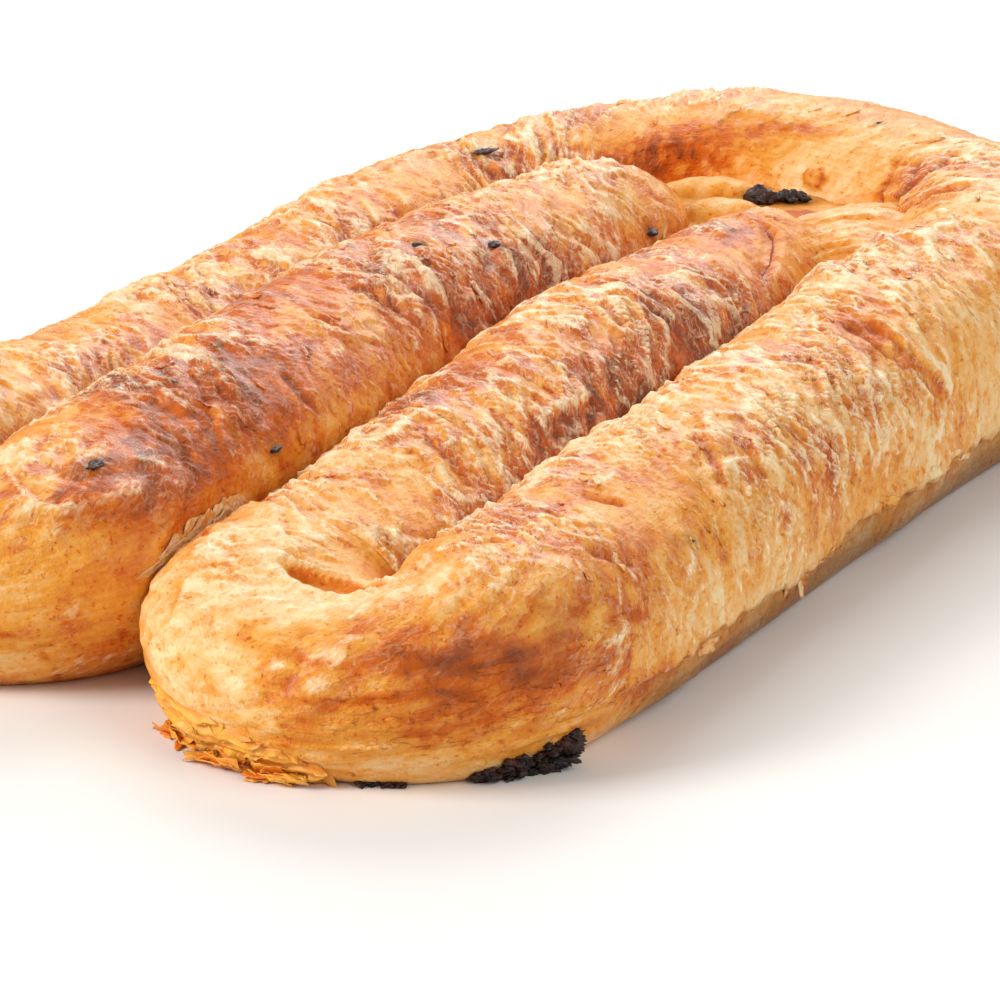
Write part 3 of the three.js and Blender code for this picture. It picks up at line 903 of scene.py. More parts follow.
# Grain of the materials, as noise scales per metre.
MOTTLE = 300.0
FRECKLE = 900.0
GRAIN = 2000.0
BURNT_PATCH = 420.0
BURNT_GRAIN = 1600.0
LEAF_PATCH = 180.0
LEAF_GRAIN = 900.0
FLOOR_PATCH = 3.0
# Patterns of the crust, as units along and round the rope for each unit of its flat map.
STREAK_PITCH = (11.0, 3.6)
SHEET_PITCH = (0.6, 7.0)
PLATE_PITCH = (4.4, 1.9)
SCALE_PITCH = (8.0, 3.2)
THREAD_PITCH = (4.6, 1.5)
HAIR_PITCH = (14.0, 3.4)
BAKED = [(0.0, CREAM), (0.26, GOLD), (0.5, ORANGE), (0.74, RED_BROWN), (1.0, DARK_BROWN)]


def crust_material():
    """Baked dough, cream to dark brown, with pale torn edges partly whitened as painted highlight where it is
    flaky, and scorched spots and painted shade.
    """
    nodes = Nodes("crust")
    rope = nodes.add("ShaderNodeUVMap", uv_map="rope").outputs["UV"]
    solid = nodes.place()
    mottle = nodes.noise(solid, MOTTLE, 4.0)
    freckle = nodes.noise(solid, FRECKLE)
    grain = nodes.noise(solid, GRAIN)
    flaky = nodes.field("flaky")
    torn = nodes.line(flaky, 0.8, 0.2, clamp=True)
    streak = nodes.noise(nodes.stretched(rope, *STREAK_PITCH))
    sheets = nodes.off_middle(nodes.noise(nodes.stretched(rope, *SHEET_PITCH)))
    sheets = nodes.times(sheets, nodes.math("SUBTRACT", 1.0, flaky))
    sway = nodes.noise(rope, 4.5, 4.0, 0.5, "Color")
    bent = nodes.add("ShaderNodeVectorMath", {0: sway, 1: (0.5, 0.5, 0.0), 2: rope}, operation="MULTIPLY_ADD")
    bent = bent.outputs["Vector"]
    plate = nodes.cell_values(nodes.stretched(bent, *PLATE_PITCH))
    scales = nodes.stretched(bent, *SCALE_PITCH)
    scale = nodes.cell_values(scales)
    pale = pale_edges(nodes, bent, scales, scale, streak, flaky)
    tone = nodes.line(plate["Red"], 0.26, nodes.times(scale["Red"], 0.16))
    tone = nodes.times(nodes.math("SUBTRACT", tone, 0.21), torn)
    brown = nodes.math("ADD", tone, nodes.field("brown"))
    pores = nodes.line(freckle, 9.0, -5.4, clamp=True)
    swept = nodes.times(nodes.off_middle(streak), torn)
    for layer, strength in ((mottle, 0.30), (freckle, 0.16), (pores, 0.2), (swept, 0.2), (sheets, 0.3)):
        brown = nodes.line(layer, strength, brown)
    brown = nodes.math("SUBTRACT", brown, 0.24, clamp=True)
    ridge = nodes.times(nodes.math("ADD", nodes.field("ridge"), -0.45), 2.2)
    ridge = nodes.math("ADD", ridge, nodes.line(streak, 2.4, -1.0), clamp=True)
    ridge = nodes.line(pale, 0.7, ridge, clamp=True)
    hairs = nodes.noise(nodes.stretched(bent, *HAIR_PITCH), roughness=0.65)
    ridge = nodes.times(ridge, nodes.line(hairs, 4.0, -1.15, clamp=True))
    ridge = nodes.times(ridge, nodes.line(brown, -0.3, 1.0))
    # Scorch and the painted shade at the outer right leg's foot mix towards dark brown; pale edges take a
    # cream that is partly painted highlight.
    char = nodes.times(nodes.field("char"), nodes.line(grain, 0.6, 0.6), clamp=True)
    shown = nodes.mix(char, nodes.mix(ridge, nodes.ramp(brown, BAKED), RIDGE_CREAM_AND_HIGHLIGHT), DARK_BROWN)
    steps = nodes.line(plate["Blue"], 1.5, scale["Blue"])
    height = nodes.line(nodes.times(steps, torn), 0.8, grain)
    height = nodes.line(sheets, 1.5, nodes.line(pale, 0.5, height))
    freckles = nodes.bump(freckle, 0.4, 0.001, Normal=nodes.bump(height, 0.55, 0.0005))
    return nodes.finish(
        Base_Color=shown, Roughness=nodes.line(grain, 0.3, 0.28), Normal=freckles,
        Specular_IOR_Level=nodes.line(flaky, 0.2, 0.12),
        Coat_Weight=nodes.line(flaky, 0.2, 0.08), Coat_Roughness=0.22,
    )


def pale_edges(nodes, bent, scales, scale, streak, flaky):
    """Pale edges of small scales and thin lines, where the crust is flaky."""
    rim = nodes.line(nodes.cells(scales, "DISTANCE_TO_EDGE")["Distance"], -5.0, 1.0, clamp=True)
    raised = nodes.line(scale["Green"], 8.0, -4.6, clamp=True)
    lines = nodes.off_middle(nodes.noise(nodes.stretched(bent, *THREAD_PITCH), 1.0, 2.0, 0.5))
    lines = nodes.line(nodes.math("ABSOLUTE", lines), -16.0, 1.0, clamp=True)
    lines = nodes.times(lines, nodes.line(streak, 6.0, -2.6, clamp=True))
    return nodes.times(nodes.line(rim, raised, lines, clamp=True), flaky)


def burnt_material():
    """Black filling, brown in patches."""
    nodes = Nodes("burnt")
    place = nodes.place()
    patch = nodes.noise(place, BURNT_PATCH, 4.0)
    grain = nodes.noise(place, BURNT_GRAIN)
    return nodes.finish(
        Base_Color=nodes.ramp(patch, [(0.42, BURNT), (0.66, BURNT_EDGE)]),
        Roughness=nodes.line(patch, 0.5, 0.15), Normal=nodes.bump(grain, 0.7, 0.0006),
    )


def leaf_material():
    """Thin orange layers, through which some light passes."""
    nodes = Nodes("foot_leaf")
    place = nodes.place()
    patch = nodes.noise(place, LEAF_PATCH, 4.0)
    grain = nodes.noise(place, LEAF_GRAIN)
    tone = nodes.line(nodes.field("tone"), 0.7, nodes.line(patch, 0.8, -0.35))
    return nodes.finish(
        Base_Color=nodes.ramp(tone, [(0.05, LEAF_GOLD), (0.8, LEAF_ORANGE)]),
        Roughness=nodes.line(patch, 0.4, 0.25), Normal=nodes.bump(grain, 0.5, 0.0004),
        Subsurface_Weight=0.2, Subsurface_Radius=(0.003, 0.0015, 0.0006), Subsurface_Scale=1.0,
    )


def floor_piece():
    """A plain pale floor."""
    nodes = Nodes("floor")
    tone = nodes.noise(nodes.place(), FLOOR_PATCH, 2.0, 0.5)
    shown = nodes.ramp(tone, [(0.3, FLOOR_GREY), (0.7, FLOOR_PALE)])
    material = nodes.finish(Base_Color=shown, Roughness=0.7)
    corners = FLOOR_HALF * np.array([(-1, -1, 0), (1, -1, 0), (1, 1, 0), (-1, 1, 0)], float)
    floor = new_mesh("floor", corners, [np.array([[0, 1, 2, 3]])], material, np.zeros(3))


def looped(grid):
    """A grid with its first column repeated after its last."""
    return np.concatenate([grid, grid[:, :1]], axis=1)


def crust_pieces(crust, material, place):
    """The crust in pieces along the rope, each closed at both ends."""
    rope = crust.rope
    rows, columns = crust.around.shape
    cuts = np.linspace(0, rows - 1, len(CRUST_PARTS) + 1).astype(int)
    middles = np.concatenate([rope.line[:1], rope.point[1:-1], rope.line[-1:]])
    middles = np.c_[middles, WIDEST_SHARE * rope.height]
    fields = {"brown": crust.brown, "ridge": crust.ridge, "char": crust.char, "flaky": crust.flaky}
    pieces = []
    for name, first, last in zip(CRUST_PARTS, cuts[:-1], cuts[1:]):
        part = slice(first, last + 1)
        count = last + 1 - first
        corners = np.concatenate([looped(crust.point[part]).reshape(-1, 3), middles[[first, last]]])
        outward = np.concatenate([looped(crust.normal[part]).reshape(-1, 3), [[0, 1, 0], [0, 1, 0]]])
        total = count * (columns + 1)
        edge = np.arange(columns)
        near = np.stack([np.full(columns, total), edge + 1, edge], -1)
        edge = edge + total - columns - 1
        far = np.stack([edge, edge + 1, np.full(columns, total + 1)], -1)
        wrapped = {}
        for key, grid in fields.items():
            wrapped[key] = np.r_[looped(grid[part]).ravel(), grid[first].mean(), grid[last].mean()]
        around = crust.around[part]
        last_step = np.linalg.norm(crust.point[part, -1] - crust.point[part, 0], axis=-1)[:, None]
        around = np.concatenate([around, around[:, -1:] + last_step], axis=1)
        along = np.repeat(rope.along[part], columns + 1)
        flat = rope_map(np.r_[along, along[0], along[-1]], np.r_[around.ravel(), 0, 0])
        faces = [grid_faces(count, columns + 1, False), near, far]
        pieces.append(new_mesh(name, corners, faces, material, place, wrapped, flat, outward))
    return pieces


# The gathered dough in the hollow, on a disc of its own: two flattened mounds, their centres and half sizes.
GATHER_MIDDLE = (6, 95)
GATHER_REACH = 50
GATHER_RINGS = 150
GATHER_SPOKES = 300
GATHER_LOWEST = 1.0
GATHER_AT = (-4, 101)
GATHER_SIZE = (52, 42, 29)
WEB_AT = (29, 82)
WEB_SIZE = (24, 36, 35)
WEB_TURN = 0.58
MOUND_FLATNESS = 0.3
# Its pleats: centre, half length and width, height, turn. Its brown streak: centre, length and width, turn.
PLEATS = [((-19.5, 104), (12, 5.0), 2.8, 0.44), ((-9.8, 91.5), (9, 4.5), 2.6, 0.69)]
GATHER_STREAK = ((5.9, 100.5), (5, 1.8), 0.5)
# Burnt filling that lies on it: centre and half sizes.
CLUSTER = [
    ((-6.2, 101.5, 30.2), (2.9, 2.5, 2.2)), ((-3.6, 103.0, 30.0), (1.9, 1.4, 1.0)),
    ((-2.1, 104.6, 29.9), (1.7, 1.2, 1.0)), ((-0.6, 105.6, 29.9), (1.5, 1.3, 1.2)),
    ((1.0, 106.8, 29.9), (1.5, 1.2, 1.0)), ((2.2, 106.6, 29.7), (1.3, 1.0, 0.7)),
    ((0.4, 104.6, 29.6), (1.3, 0.9, 0.6)),
]
CLUSTER_TURN = 0.55


def turned(x, y, centre, turn):
    """Distances from a centre along and across a direction."""
    ahead = (x - centre[0]) * np.cos(turn) + (y - centre[1]) * np.sin(turn)
    beside = (y - centre[1]) * np.cos(turn) - (x - centre[0]) * np.sin(turn)
    return ahead, beside


def soft_spot(x, y, centre, size, turn):
    """1 at a centre, fading out over a length and a width."""
    ahead, beside = turned(x, y, centre, turn)
    return bell(ahead, size[0]) * bell(beside, size[1])


def mound(x, y, centre, size):
    """The height of a flattened mound over places."""
    ring = ((x - centre[0]) / size[0]) ** 2 + ((y - centre[1]) / size[1]) ** 2
    return size[2] * np.maximum(0, 1 - ring) ** (MOUND_FLATNESS / 2)


def gather_piece(material, place):
    """The gathered dough between the rope's ends and the arc: two flattened mounds with pleats and folds."""
    ring = np.sqrt(np.linspace(0.0004, 1, GATHER_RINGS))[:, None]
    angle = np.linspace(0, 2 * np.pi, GATHER_SPOKES, endpoint=False)[None]
    x = GATHER_MIDDLE[0] + GATHER_REACH * ring * np.cos(angle)
    y = GATHER_MIDDLE[1] + GATHER_REACH * ring * np.sin(angle)
    web = mound(x, y, WEB_AT, WEB_SIZE)
    z = np.maximum(mound(x, y, GATHER_AT, GATHER_SIZE), web)
    pleat = np.zeros_like(x)
    for centre, (long, wide), high, turn in PLEATS:
        ahead, beside = turned(x, y, centre, turn)
        beside = beside + 0.02 * ahead ** 2
        shape = np.sqrt(np.clip(1 - (ahead / long) ** 2 - (beside / wide) ** 2, 0, 1))
        pleat = np.maximum(pleat, high * shape)
    folds = Noise(21)(x / 5, y / 11) + 0.5 * Noise(22)(x / 2.5, y / 5)
    ahead, beside = turned(x, y, WEB_AT, WEB_TURN)
    rays = 1 - 2.4 * np.abs(Noise(27)(ahead / 15, (beside + 0.03 * ahead ** 2) / 4.5))
    rays = np.clip(rays, 0, 1) * smoothstep(web, 20, 32)
    z = np.maximum(z + (pleat + 0.4 * folds + 0.9 * rays) * smoothstep(z, 4, 20), GATHER_LOWEST)
    corners = np.concatenate([np.stack([x, y, z], -1).reshape(-1, 3), [[*GATHER_MIDDLE, z[0].mean()]]])
    faces = grid_faces(GATHER_RINGS, GATHER_SPOKES, True)
    inner = np.arange(GATHER_SPOKES)
    cap = np.stack([inner, np.roll(inner, -1), np.full(GATHER_SPOKES, x.size)], -1)
    scorch = np.zeros_like(x)
    for at, (long, wide, _) in CLUSTER:
        scorch = np.maximum(scorch, 0.7 * soft_spot(x, y, at, (long + 1, wide + 1), CLUSTER_TURN))
    brown = 0.30 + 0.1 * folds - 0.05 * pleat - 0.1 * rays + 0.2 * smoothstep(-x, 22, 36)
    brown += 0.45 * soft_spot(x, y, *GATHER_STREAK)
    fields = {
        "brown": np.r_[np.clip(brown, 0.05, 0.9).ravel(), 0.2],
        "ridge": np.r_[0.4 * rays.ravel(), 0],
        "char": np.r_[scorch.ravel(), 0],
        "flaky": np.r_[0.7 * rays.ravel(), 0],
    }
    flat = corners[:, :2] / MAP_UNIT
    return new_mesh("gather", corners, [faces[:, ::-1], cap[:, ::-1]], material, place, fields, flat)


class Pile:
    """Corners, faces and fields of many small things that become one mesh."""

    def __init__(self):
        self.parts = []
        self.count = 0

    def add(self, corners, quads, fields, flat=None):
        fields = {key: np.broadcast_to(value, len(corners)) for key, value in fields.items()}
        flat = corners[:, :2] / MAP_UNIT if flat is None else flat
        self.parts.append((corners, quads + self.count, flat, fields))
        self.count += len(corners)

    def piece(self, name, material, place):
        *grids, fields = zip(*self.parts)
        corners, quads, flat = (np.concatenate(parts) for parts in grids)
        fields = {key: np.concatenate([part[key] for part in fields]) for key in fields[0]}
        return new_mesh(name, corners, [quads], material, place, fields, flat)


LEAF_ROWS = 9
LEAF_COLUMNS = 5
LEAF_AHEAD = np.linspace(0, 1, LEAF_ROWS)[:, None]
LEAF_ACROSS = np.linspace(-1, 1, LEAF_COLUMNS)[None]
LEAF_TEAR = 0.45
LEAF_BEND = 0.3
LEAF_SEAT = 0.1


def add_leaf(pile, top, bottom, fields, flat=None):
    """A thin leaf with two skins, from a grid of corners for each."""
    rows, columns = top.shape[:2]
    upper = grid_faces(rows, columns, False)[:, ::-1]
    count = rows * columns
    number = np.arange(count).reshape(rows, columns)
    rim = np.concatenate([number[0], number[1:, -1], number[-1, -2::-1], number[-2:0:-1, 0]])
    after = np.roll(rim, -1)
    wall = np.stack([after, after + count, rim + count, rim], -1)
    corners = np.concatenate([top.reshape(-1, 3), bottom.reshape(-1, 3)])
    faces = np.concatenate([upper, upper[:, ::-1] + count, wall])
    both = {key: np.tile(np.ravel(value), 2) if np.ndim(value) else value for key, value in fields.items()}
    pile.add(corners, faces, both, None if flat is None else np.tile(flat.reshape(-1, 2), (2, 1)))


def leaf_outline(draw, long, wide, tear, bend=0):
    """How far a leaf's corners lie beside and ahead of its middle, with two torn edges and blunt ends."""
    taper = np.sin(np.pi * (0.1 + 0.82 * LEAF_AHEAD)) ** 0.45
    left = 1 + tear * draw.uniform(-1, 1, (LEAF_ROWS, 1))
    right = 1 + tear * draw.uniform(-1, 1, (LEAF_ROWS, 1))
    beside = LEAF_ACROSS * taper * np.where(LEAF_ACROSS < 0, left, right) * wide / 2
    if bend:
        beside = beside + draw.uniform(-bend, bend) * long * (LEAF_AHEAD - 0.5) ** 2
    ahead = (LEAF_AHEAD - 0.5 + 0.1 * draw.uniform(-1, 1, (1, LEAF_COLUMNS))) * long
    return beside, ahead


def crust_leaf(pile, crust, draw, along, share, long, wide, turn, lift, paler):
    """A flake that lies on the crust at one end and lifts at the other, in the crust's colour or paler."""
    beside, ahead = leaf_outline(draw, long, wide, LEAF_TEAR, LEAF_BEND)
    mm_along = along + beside * np.cos(turn) + ahead * np.sin(turn)
    mm_round = ahead * np.cos(turn) - beside * np.sin(turn)
    shares = np.clip(share + mm_round * crust.share_per_mm(along, share), 0.01, CRUST_SHARE - 0.01)
    height = LEAF_SEAT + lift * LEAF_AHEAD ** 2 + 0.25 * lift * LEAF_ACROSS ** 2 * draw.uniform(-0.6, 1.0)
    height = height + 0.1 * draw.uniform(-1, 1, (LEAF_ROWS, LEAF_COLUMNS))
    top, bottom = crust.skins(mm_along, shares, np.maximum(height, CLEARANCE))
    fields = {
        "brown": np.clip(crust.field(crust.brown, mm_along, shares) - 0.3 * paler, 0.02, 0.98),
        "ridge": np.clip(crust.field(crust.ridge, mm_along, shares) + paler, 0, 1),
        "char": 0.0,
        "flaky": crust.field(crust.flaky, mm_along, shares),
    }
    add_leaf(pile, top, bottom, fields, rope_map(mm_along, crust.field(crust.around, mm_along, shares)))


RUFFLE_ROWS = 7
RUFFLE_PITCH = 0.35


def ruffle(crust, seed, ends, share, reach, lift, fray, taper):
    """A frayed strip of a thin layer along the rope, fixed at one edge and lifting towards the other.

    Gives its skins, the places along and round the rope, and how far out each is from the fixed edge. Every
    noise below reads a row of its own.
    """
    noise = Noise(seed)
    length = crust.rope.length
    steps = int((ends[1] - ends[0]) * length / RUFFLE_PITCH)
    run = np.linspace(0, 1, steps)[None]
    along = (ends[0] + (ends[1] - ends[0]) * run) * length
    out = np.linspace(0, 1, RUFFLE_ROWS)[:, None]
    fade = np.sin(np.pi * (0.03 + 0.94 * run)) ** taper
    ragged = np.clip(0.7 + 0.5 * noise(along / 5.5, 0.5) + fray * noise(along / 1.2, 9.5), 0.1, 1.8)
    slip = out * (1.2 * noise(along / 4, 30.5) + 0.7 * noise(along / 1.5, 33.5 + out))
    shares = share + out * reach * fade * ragged * crust.share_per_mm(along.mean(), share)
    shares = np.clip(shares, 0.01, CRUST_SHARE - 0.004)
    curl = lift * out ** 1.4 * (0.7 + 0.6 * noise(along / 3.2, 20.5))
    height = LEAF_SEAT + fade * np.maximum(curl, 0) + 0.5 * out * noise(along / 1.7, 40.5 + 1.5 * out)
    mm_along = np.clip(along + slip, 0, length)
    return crust.skins(mm_along, shares, height), mm_along, shares, out + 0 * run


# Kinds of flake: length, width, turn, spread of turns, lift.
SHORT_FLAKE = ((2.5, 6), (0.6, 1.4), -0.42, 0.3, (0.1, 0.4))
LAYER_LEAF = ((3, 8), (0.9, 2.2), np.pi / 2, 0.15, (0.2, 1.2))
LOOSE_LEAF = ((3, 5), (0.9, 2.2), np.pi / 2, 1.2, (0.2, 1.2))
FRONT_LEAF = ((2, 5), (0.9, 2.2), np.pi / 2, 0.3, (0.05, 0.3))
# Where flakes lie: range along the rope and round it, how many, kind, how much paler.
FLAKE_FIELDS = [
    ((0.02, 0.17), (0.22, 0.52), 30, SHORT_FLAKE, (0.0, 0.4)),
    ((0.24, 0.40), (0.34, 0.60), 30, SHORT_FLAKE, (0.0, 0.4)),
    ((0.83, 0.98), (0.34, 0.64), 40, SHORT_FLAKE, (0.0, 0.3)),
    ((0.40, 0.75), (0.36, 0.60), 25, SHORT_FLAKE, (0.0, 0.3)),
    ((0.25, 0.42), (0.71, 0.78), 16, LAYER_LEAF, (0.0, 0.3)),
    ((0.42, 0.73), (0.71, 0.78), 24, LAYER_LEAF, (0.0, 0.3)),
    ((0.29, 0.31), (0.74, 0.77), 4, LOOSE_LEAF, (0.0, 0.3)),
    ((0.214, 0.242), (0.60, 0.76), 34, FRONT_LEAF, (-0.1, 0.1)),
]
# One leaf that hangs from the outer right leg: its place, then length, width, turn, lift and how much paler.
HANGING_AT = (0.3005, 0.775)
HANGING_LEAF = (5.0, 1.6, 0.1, 1.8, 0.4)
# Thin skins that climb from the valley beside the front bend: ends along the rope, place round it, width,
# lift. Their form is how much they fray and how slowly they taper.
VALLEY_SKINS = [
    ((0.8036, 0.8280), 0.672, -10.5, 0.5), ((0.8040, 0.8270), 0.672, -9.0, 0.9),
    ((0.8044, 0.8260), 0.672, -7.5, 1.3), ((0.8048, 0.8250), 0.672, -6.0, 1.7),
]
VALLEY_FORM = (0.12, 0.9)
SEAM_STEPS = 60
SEAM_WIDTH = 0.65
SEAM_LIFT = 0.08


def add_valley_skins(pile, crust):
    """Thin skins, partly in the crust's own colour."""
    for number, (ends, share, reach, lift) in enumerate(VALLEY_SKINS):
        skins, along, shares, out = ruffle(crust, 90 + number, ends, share, reach, lift, *VALLEY_FORM)
        cloud = Noise(95 + number)(along / 3.0, 2.5 * out)
        brown = 0.16 + 0.3 * cloud + 0.35 * crust.field(crust.brown, along, shares)
        fields = {
            "brown": np.clip(brown, 0.05, 0.6),
            "ridge": np.clip(0.5 + 0.5 * cloud, 0, 1),
            "char": 0.0,
            "flaky": 0.6,
        }
        add_leaf(pile, *skins, fields, np.stack([along, out * reach], -1) / MAP_UNIT)


def add_seam(pile, crust):
    """The dark torn edge in the seam of the rope's right end."""
    run = np.linspace(0, 1, SEAM_STEPS)[:, None]
    knots = np.linspace(0, 1, len(TIP_SEAM))
    along, share = (np.interp(run, knots, values) for values in np.transpose(TIP_SEAM))
    wide = SEAM_WIDTH * np.sin(np.pi * run) ** 0.5 * (1 + 0.5 * Noise(29)(8 * run, 0.5))
    mm_along = along * crust.rope.length + wide * np.linspace(-0.5, 0.5, 3)[None]
    share = share + 0 * mm_along
    lifts = (SEAM_LIFT, -LEAF_THICKNESS)
    skins = [crust.at(mm_along, share, np.full(share.shape, lift)) for lift in lifts]
    add_leaf(pile, *skins, {"brown": 0.76, "ridge": 0.0, "char": 0.45, "flaky": 0.0})


def flakes_piece(crust, material, place):
    """The crust's loose flakes: short ones round the rope, and long leaves of its layers low on the sides."""
    draw = np.random.default_rng(31)
    length = crust.rope.length
    pile = Pile()
    for along, share, count, (long, wide, turn, spread, lift), paler in FLAKE_FIELDS:
        for _ in range(count):
            crust_leaf(
                pile, crust, draw, draw.uniform(*along) * length, draw.uniform(*share), draw.uniform(*long),
                draw.uniform(*wide), draw.normal(turn, spread), draw.uniform(*lift), draw.uniform(*paler),
            )
    crust_leaf(pile, crust, draw, HANGING_AT[0] * length, HANGING_AT[1], *HANGING_LEAF)
    add_valley_skins(pile, crust)
    add_seam(pile, crust)
    return pile.piece("flakes", material, place)


# Leaves on the floor before the front bend: range of angles and of distances from its middle line, and their
# length, width, tear and spread of turns.
FAN_LEAVES = 60
FAN_ANGLES = (230, 276)
FAN_REACH = (16.0, 21.0)
FAN_LONG = (4, 9)
FAN_WIDE = (1.6, 4.0)
FAN_TEAR = 0.25
FAN_SPREAD = 0.3
FAN_HEIGHT = 5.0
# Frayed strips at the foot of the front bend: ends along the rope, place round it, width, lift, and the form.
FOOT_RUFFLES = [
    ((0.1945, 0.2040), 0.730, 3.0, 1.2), ((0.1940, 0.2055), 0.740, 3.0, 1.5),
    ((0.1945, 0.2075), 0.750, 3.2, 1.8), ((0.1940, 0.2090), 0.760, 3.2, 2.2),
    ((0.1950, 0.2105), 0.770, 3.4, 2.4), ((0.1945, 0.2115), 0.780, 3.4, 2.6),
    ((0.1955, 0.2120), 0.790, 3.4, 2.8), ((0.1950, 0.2130), 0.800, 3.4, 3.0),
    ((0.1945, 0.2135), 0.810, 3.4, 3.2), ((0.1955, 0.2135), 0.820, 3.4, 3.4),
    ((0.1950, 0.2140), 0.830, 3.0, 3.4),
]
FOOT_FORM = (0.7, 0.4)


def add_fan_leaf(pile, draw):
    """A leaf that has slid out from under the front bend, lower the further out it lies."""
    x, y, radius_x, radius_y = FRONT_BEND
    angle = np.radians(draw.uniform(*FAN_ANGLES))
    out = draw.uniform(0, 1)
    reach = FAN_REACH[0] + (FAN_REACH[1] - FAN_REACH[0]) * out
    long = draw.uniform(*FAN_LONG)
    wide = draw.uniform(*FAN_WIDE)
    turn = angle + np.pi / 2 + draw.normal(0, FAN_SPREAD)
    beside, ahead = leaf_outline(draw, long, wide, FAN_TEAR)
    flat_x = x + (radius_x + reach) * np.cos(angle) + ahead * np.cos(turn) - beside * np.sin(turn)
    flat_y = y + (radius_y + reach) * np.sin(angle) + ahead * np.sin(turn) + beside * np.cos(turn)
    level = 0.5 + draw.uniform(0, 1) * FAN_HEIGHT * (1 - out) ** 0.8
    curl = draw.uniform(-0.5, 1.2) * LEAF_ACROSS ** 2 + draw.uniform(-1, 1) * (LEAF_AHEAD - 0.5)
    curl = curl + 0.25 * draw.uniform(-1, 1, (LEAF_ROWS, LEAF_COLUMNS))
    z = level + curl + draw.uniform(-0.6, 0.3) * LEAF_ACROSS * wide / 2
    top = np.stack([flat_x, flat_y, np.maximum(z, LEAF_THICKNESS + 0.05)], -1)
    add_leaf(pile, top, top - (0, 0, LEAF_THICKNESS), {"tone": draw.uniform(0.1, 0.9)})


def foot_flakes_piece(crust, material, place):
    """Thin orange layers frayed out from under the front bend, and leaves that have slid out from it."""
    draw = np.random.default_rng(41)
    pile = Pile()
    for _ in range(FAN_LEAVES):
        add_fan_leaf(pile, draw)
    for number, (ends, share, reach, lift) in enumerate(FOOT_RUFFLES):
        skins, along, _, out = ruffle(crust, 80 + number, ends, share, reach, lift, *FOOT_FORM)
        tone = 0.55 - 0.5 * out + 0.5 * Noise(79)(along / 3, number + 2 * out)
        add_leaf(pile, *skins, {"tone": np.clip(tone, 0, 1)})
    return pile.piece("foot_flakes", material, place)


# Burnt filling: rows and columns of a lump, and how jagged lumps of each kind are.
LUMP_ROWS = 10
LUMP_COLUMNS = 14
SPECK_JAGS = 0.35
CLUSTER_JAGS = 0.25
STRIP_JAGS = 0.45
CRUMBS = 6
# Under the front bend: ends along the rope, highest place round it at both ends, lumps, spread, size.
BURNT_STRIPS = [
    ((0.2262, 0.2358), (0.838, 0.775), 80, 2.0, 1.0), ((0.2150, 0.2200), (0.846, 0.846), 36, 0.0, 0.45),
]
STRIP_LUMP = np.array([2.0, 1.2, 0.9])


def add_lump(pile, draw, at, size, turn, jags, floor=False):
    """A jagged lump about a point."""
    polar = np.linspace(0.02, np.pi - 0.02, LUMP_ROWS)[:, None]
    angle = np.linspace(0, 2 * np.pi, LUMP_COLUMNS, endpoint=False)[None]
    radius = 1 + jags * draw.uniform(-1, 1, (LUMP_ROWS, LUMP_COLUMNS))
    x = size[0] * radius * np.sin(polar) * np.cos(angle)
    y = size[1] * radius * np.sin(polar) * np.sin(angle)
    z = size[2] * radius * np.cos(polar)
    corners = np.stack([x * np.cos(turn) - y * np.sin(turn), x * np.sin(turn) + y * np.cos(turn), z], -1) + at
    if floor:
        corners[..., 2] = np.maximum(corners[..., 2], 0)
    pile.add(corners.reshape(-1, 3), grid_faces(LUMP_ROWS, LUMP_COLUMNS, True)[:, ::-1], {})


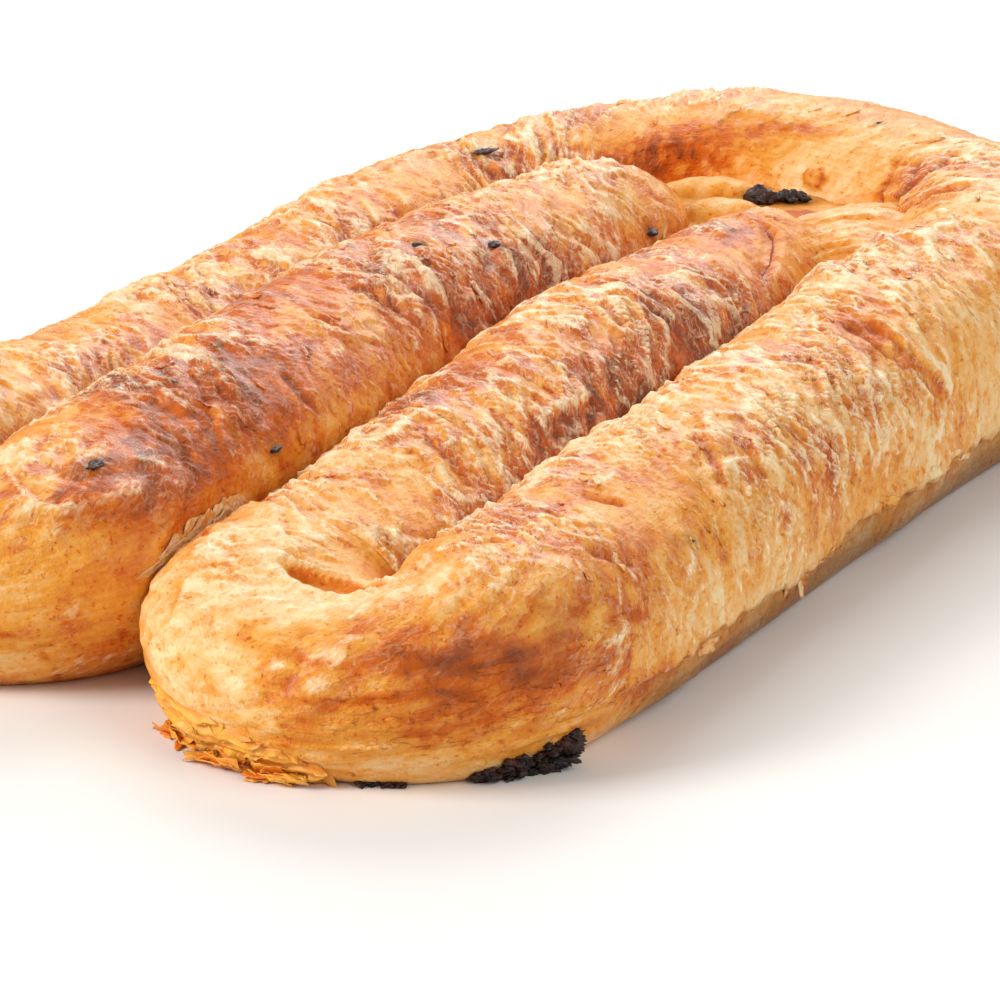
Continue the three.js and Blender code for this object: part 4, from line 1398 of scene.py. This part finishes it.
def burnt_piece(crust, material, place):
    """Burnt filling: specks on the crust, a cluster in the hollow and a ragged edge under the front bend."""
    draw = np.random.default_rng(51)
    pile = Pile()
    for along, share, long, wide, high, turn in SPECKS:
        add_lump(pile, draw, crust.point_over(along, share, 0.0), (long, wide, 0.75 * high), turn, SPECK_JAGS)
    for at, size in CLUSTER:
        add_lump(pile, draw, np.array(at), size, CLUSTER_TURN, CLUSTER_JAGS)
        for _ in range(CRUMBS):
            beside = np.array(at) + draw.normal(0, 1, 3) * size * (0.5, 0.5, 0.3)
            crumb = np.array(size) * draw.uniform(0.3, 0.6)
            add_lump(pile, draw, beside, crumb, draw.uniform(0, 3), SPECK_JAGS)
    for ends, tops, count, spread, scale in BURNT_STRIPS:
        for _ in range(count):
            step = draw.uniform(0, 1) ** 0.7
            along = ends[0] + (ends[1] - ends[0]) * step
            highest = tops[0] + (tops[1] - tops[0]) * step
            share = draw.uniform(highest, CRUST_SHARE - 0.005)
            lift = draw.uniform(-0.4, 0.8) + spread * step * smoothstep(share, highest, CRUST_SHARE)
            at = crust.point_over(along, share, lift)
            at[2] = max(at[2], 0.3)
            size = scale * STRIP_LUMP * draw.uniform(0.4, 1.2)
            add_lump(pile, draw, at, size, draw.uniform(0, np.pi), STRIP_JAGS, floor=True)
    return pile.piece("burnt", material, place)


def soft_light(name, at, size, energy):
    """A square soft light that looks at the borek's middle."""
    data = bpy.data.lights.new(name, "AREA")
    data.size = size
    data.energy = energy
    light = bpy.data.objects.new(name, data)
    bpy.context.scene.collection.objects.link(light)
    at = np.array(at, float)
    back = at / np.linalg.norm(at)
    right = np.cross((0, 0, 1), back)
    right /= np.linalg.norm(right)
    light.matrix_world = facing(at, right, np.cross(back, right))


def facing(at, right, up):
    """Where a light or camera stands and how it is turned."""
    return Matrix.Translation(at) @ Matrix(np.stack([right, up, np.cross(right, up)], -1)).to_4x4()


def studio(place):
    """Soft lights, a pale sky and the photograph's camera."""
    scene = bpy.context.scene
    scene.view_settings.view_transform = "Standard"
    scene.world = bpy.data.worlds.new("studio")
    scene.world.use_nodes = True
    sky = scene.world.node_tree.nodes["Background"].inputs
    sky["Color"].default_value = SKY
    sky["Strength"].default_value = SKY_STRENGTH
    for light in LIGHTS:
        soft_light(*light)
    data = bpy.data.cameras.new("camera")
    data.sensor_width = SENSOR
    data.lens = LENS
    data.dof.use_dof = False
    data.clip_end = CAMERA_FAR
    camera = bpy.data.objects.new("camera", data)
    scene.collection.objects.link(camera)
    camera.matrix_world = facing((np.array(CAMERA_AT) + place) * MM, CAMERA_RIGHT, CAMERA_UP)
    scene.camera = camera


def main():
    crust = Crust()
    low, high = (np.array(corner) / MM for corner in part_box("borek"))
    corners = crust.smooth_point.reshape(-1, 3)
    middle = (corners.min(0) + corners.max(0)) / 2
    place = (low + high) / 2 - middle
    place[2] = 0
    pastry = crust_material()
    shells = crust_pieces(crust, pastry, place)
    gather = gather_piece(pastry, place)
    flakes = flakes_piece(crust, pastry, place)
    foot = foot_flakes_piece(crust, leaf_material(), place)
    burnt = burnt_piece(crust, burnt_material(), place)
    for piece in (*shells, gather, flakes, foot, burnt):
        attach(piece, "root")
    for shell in shells:
        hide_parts("borek")
    floor_piece()
    studio(place)


main()
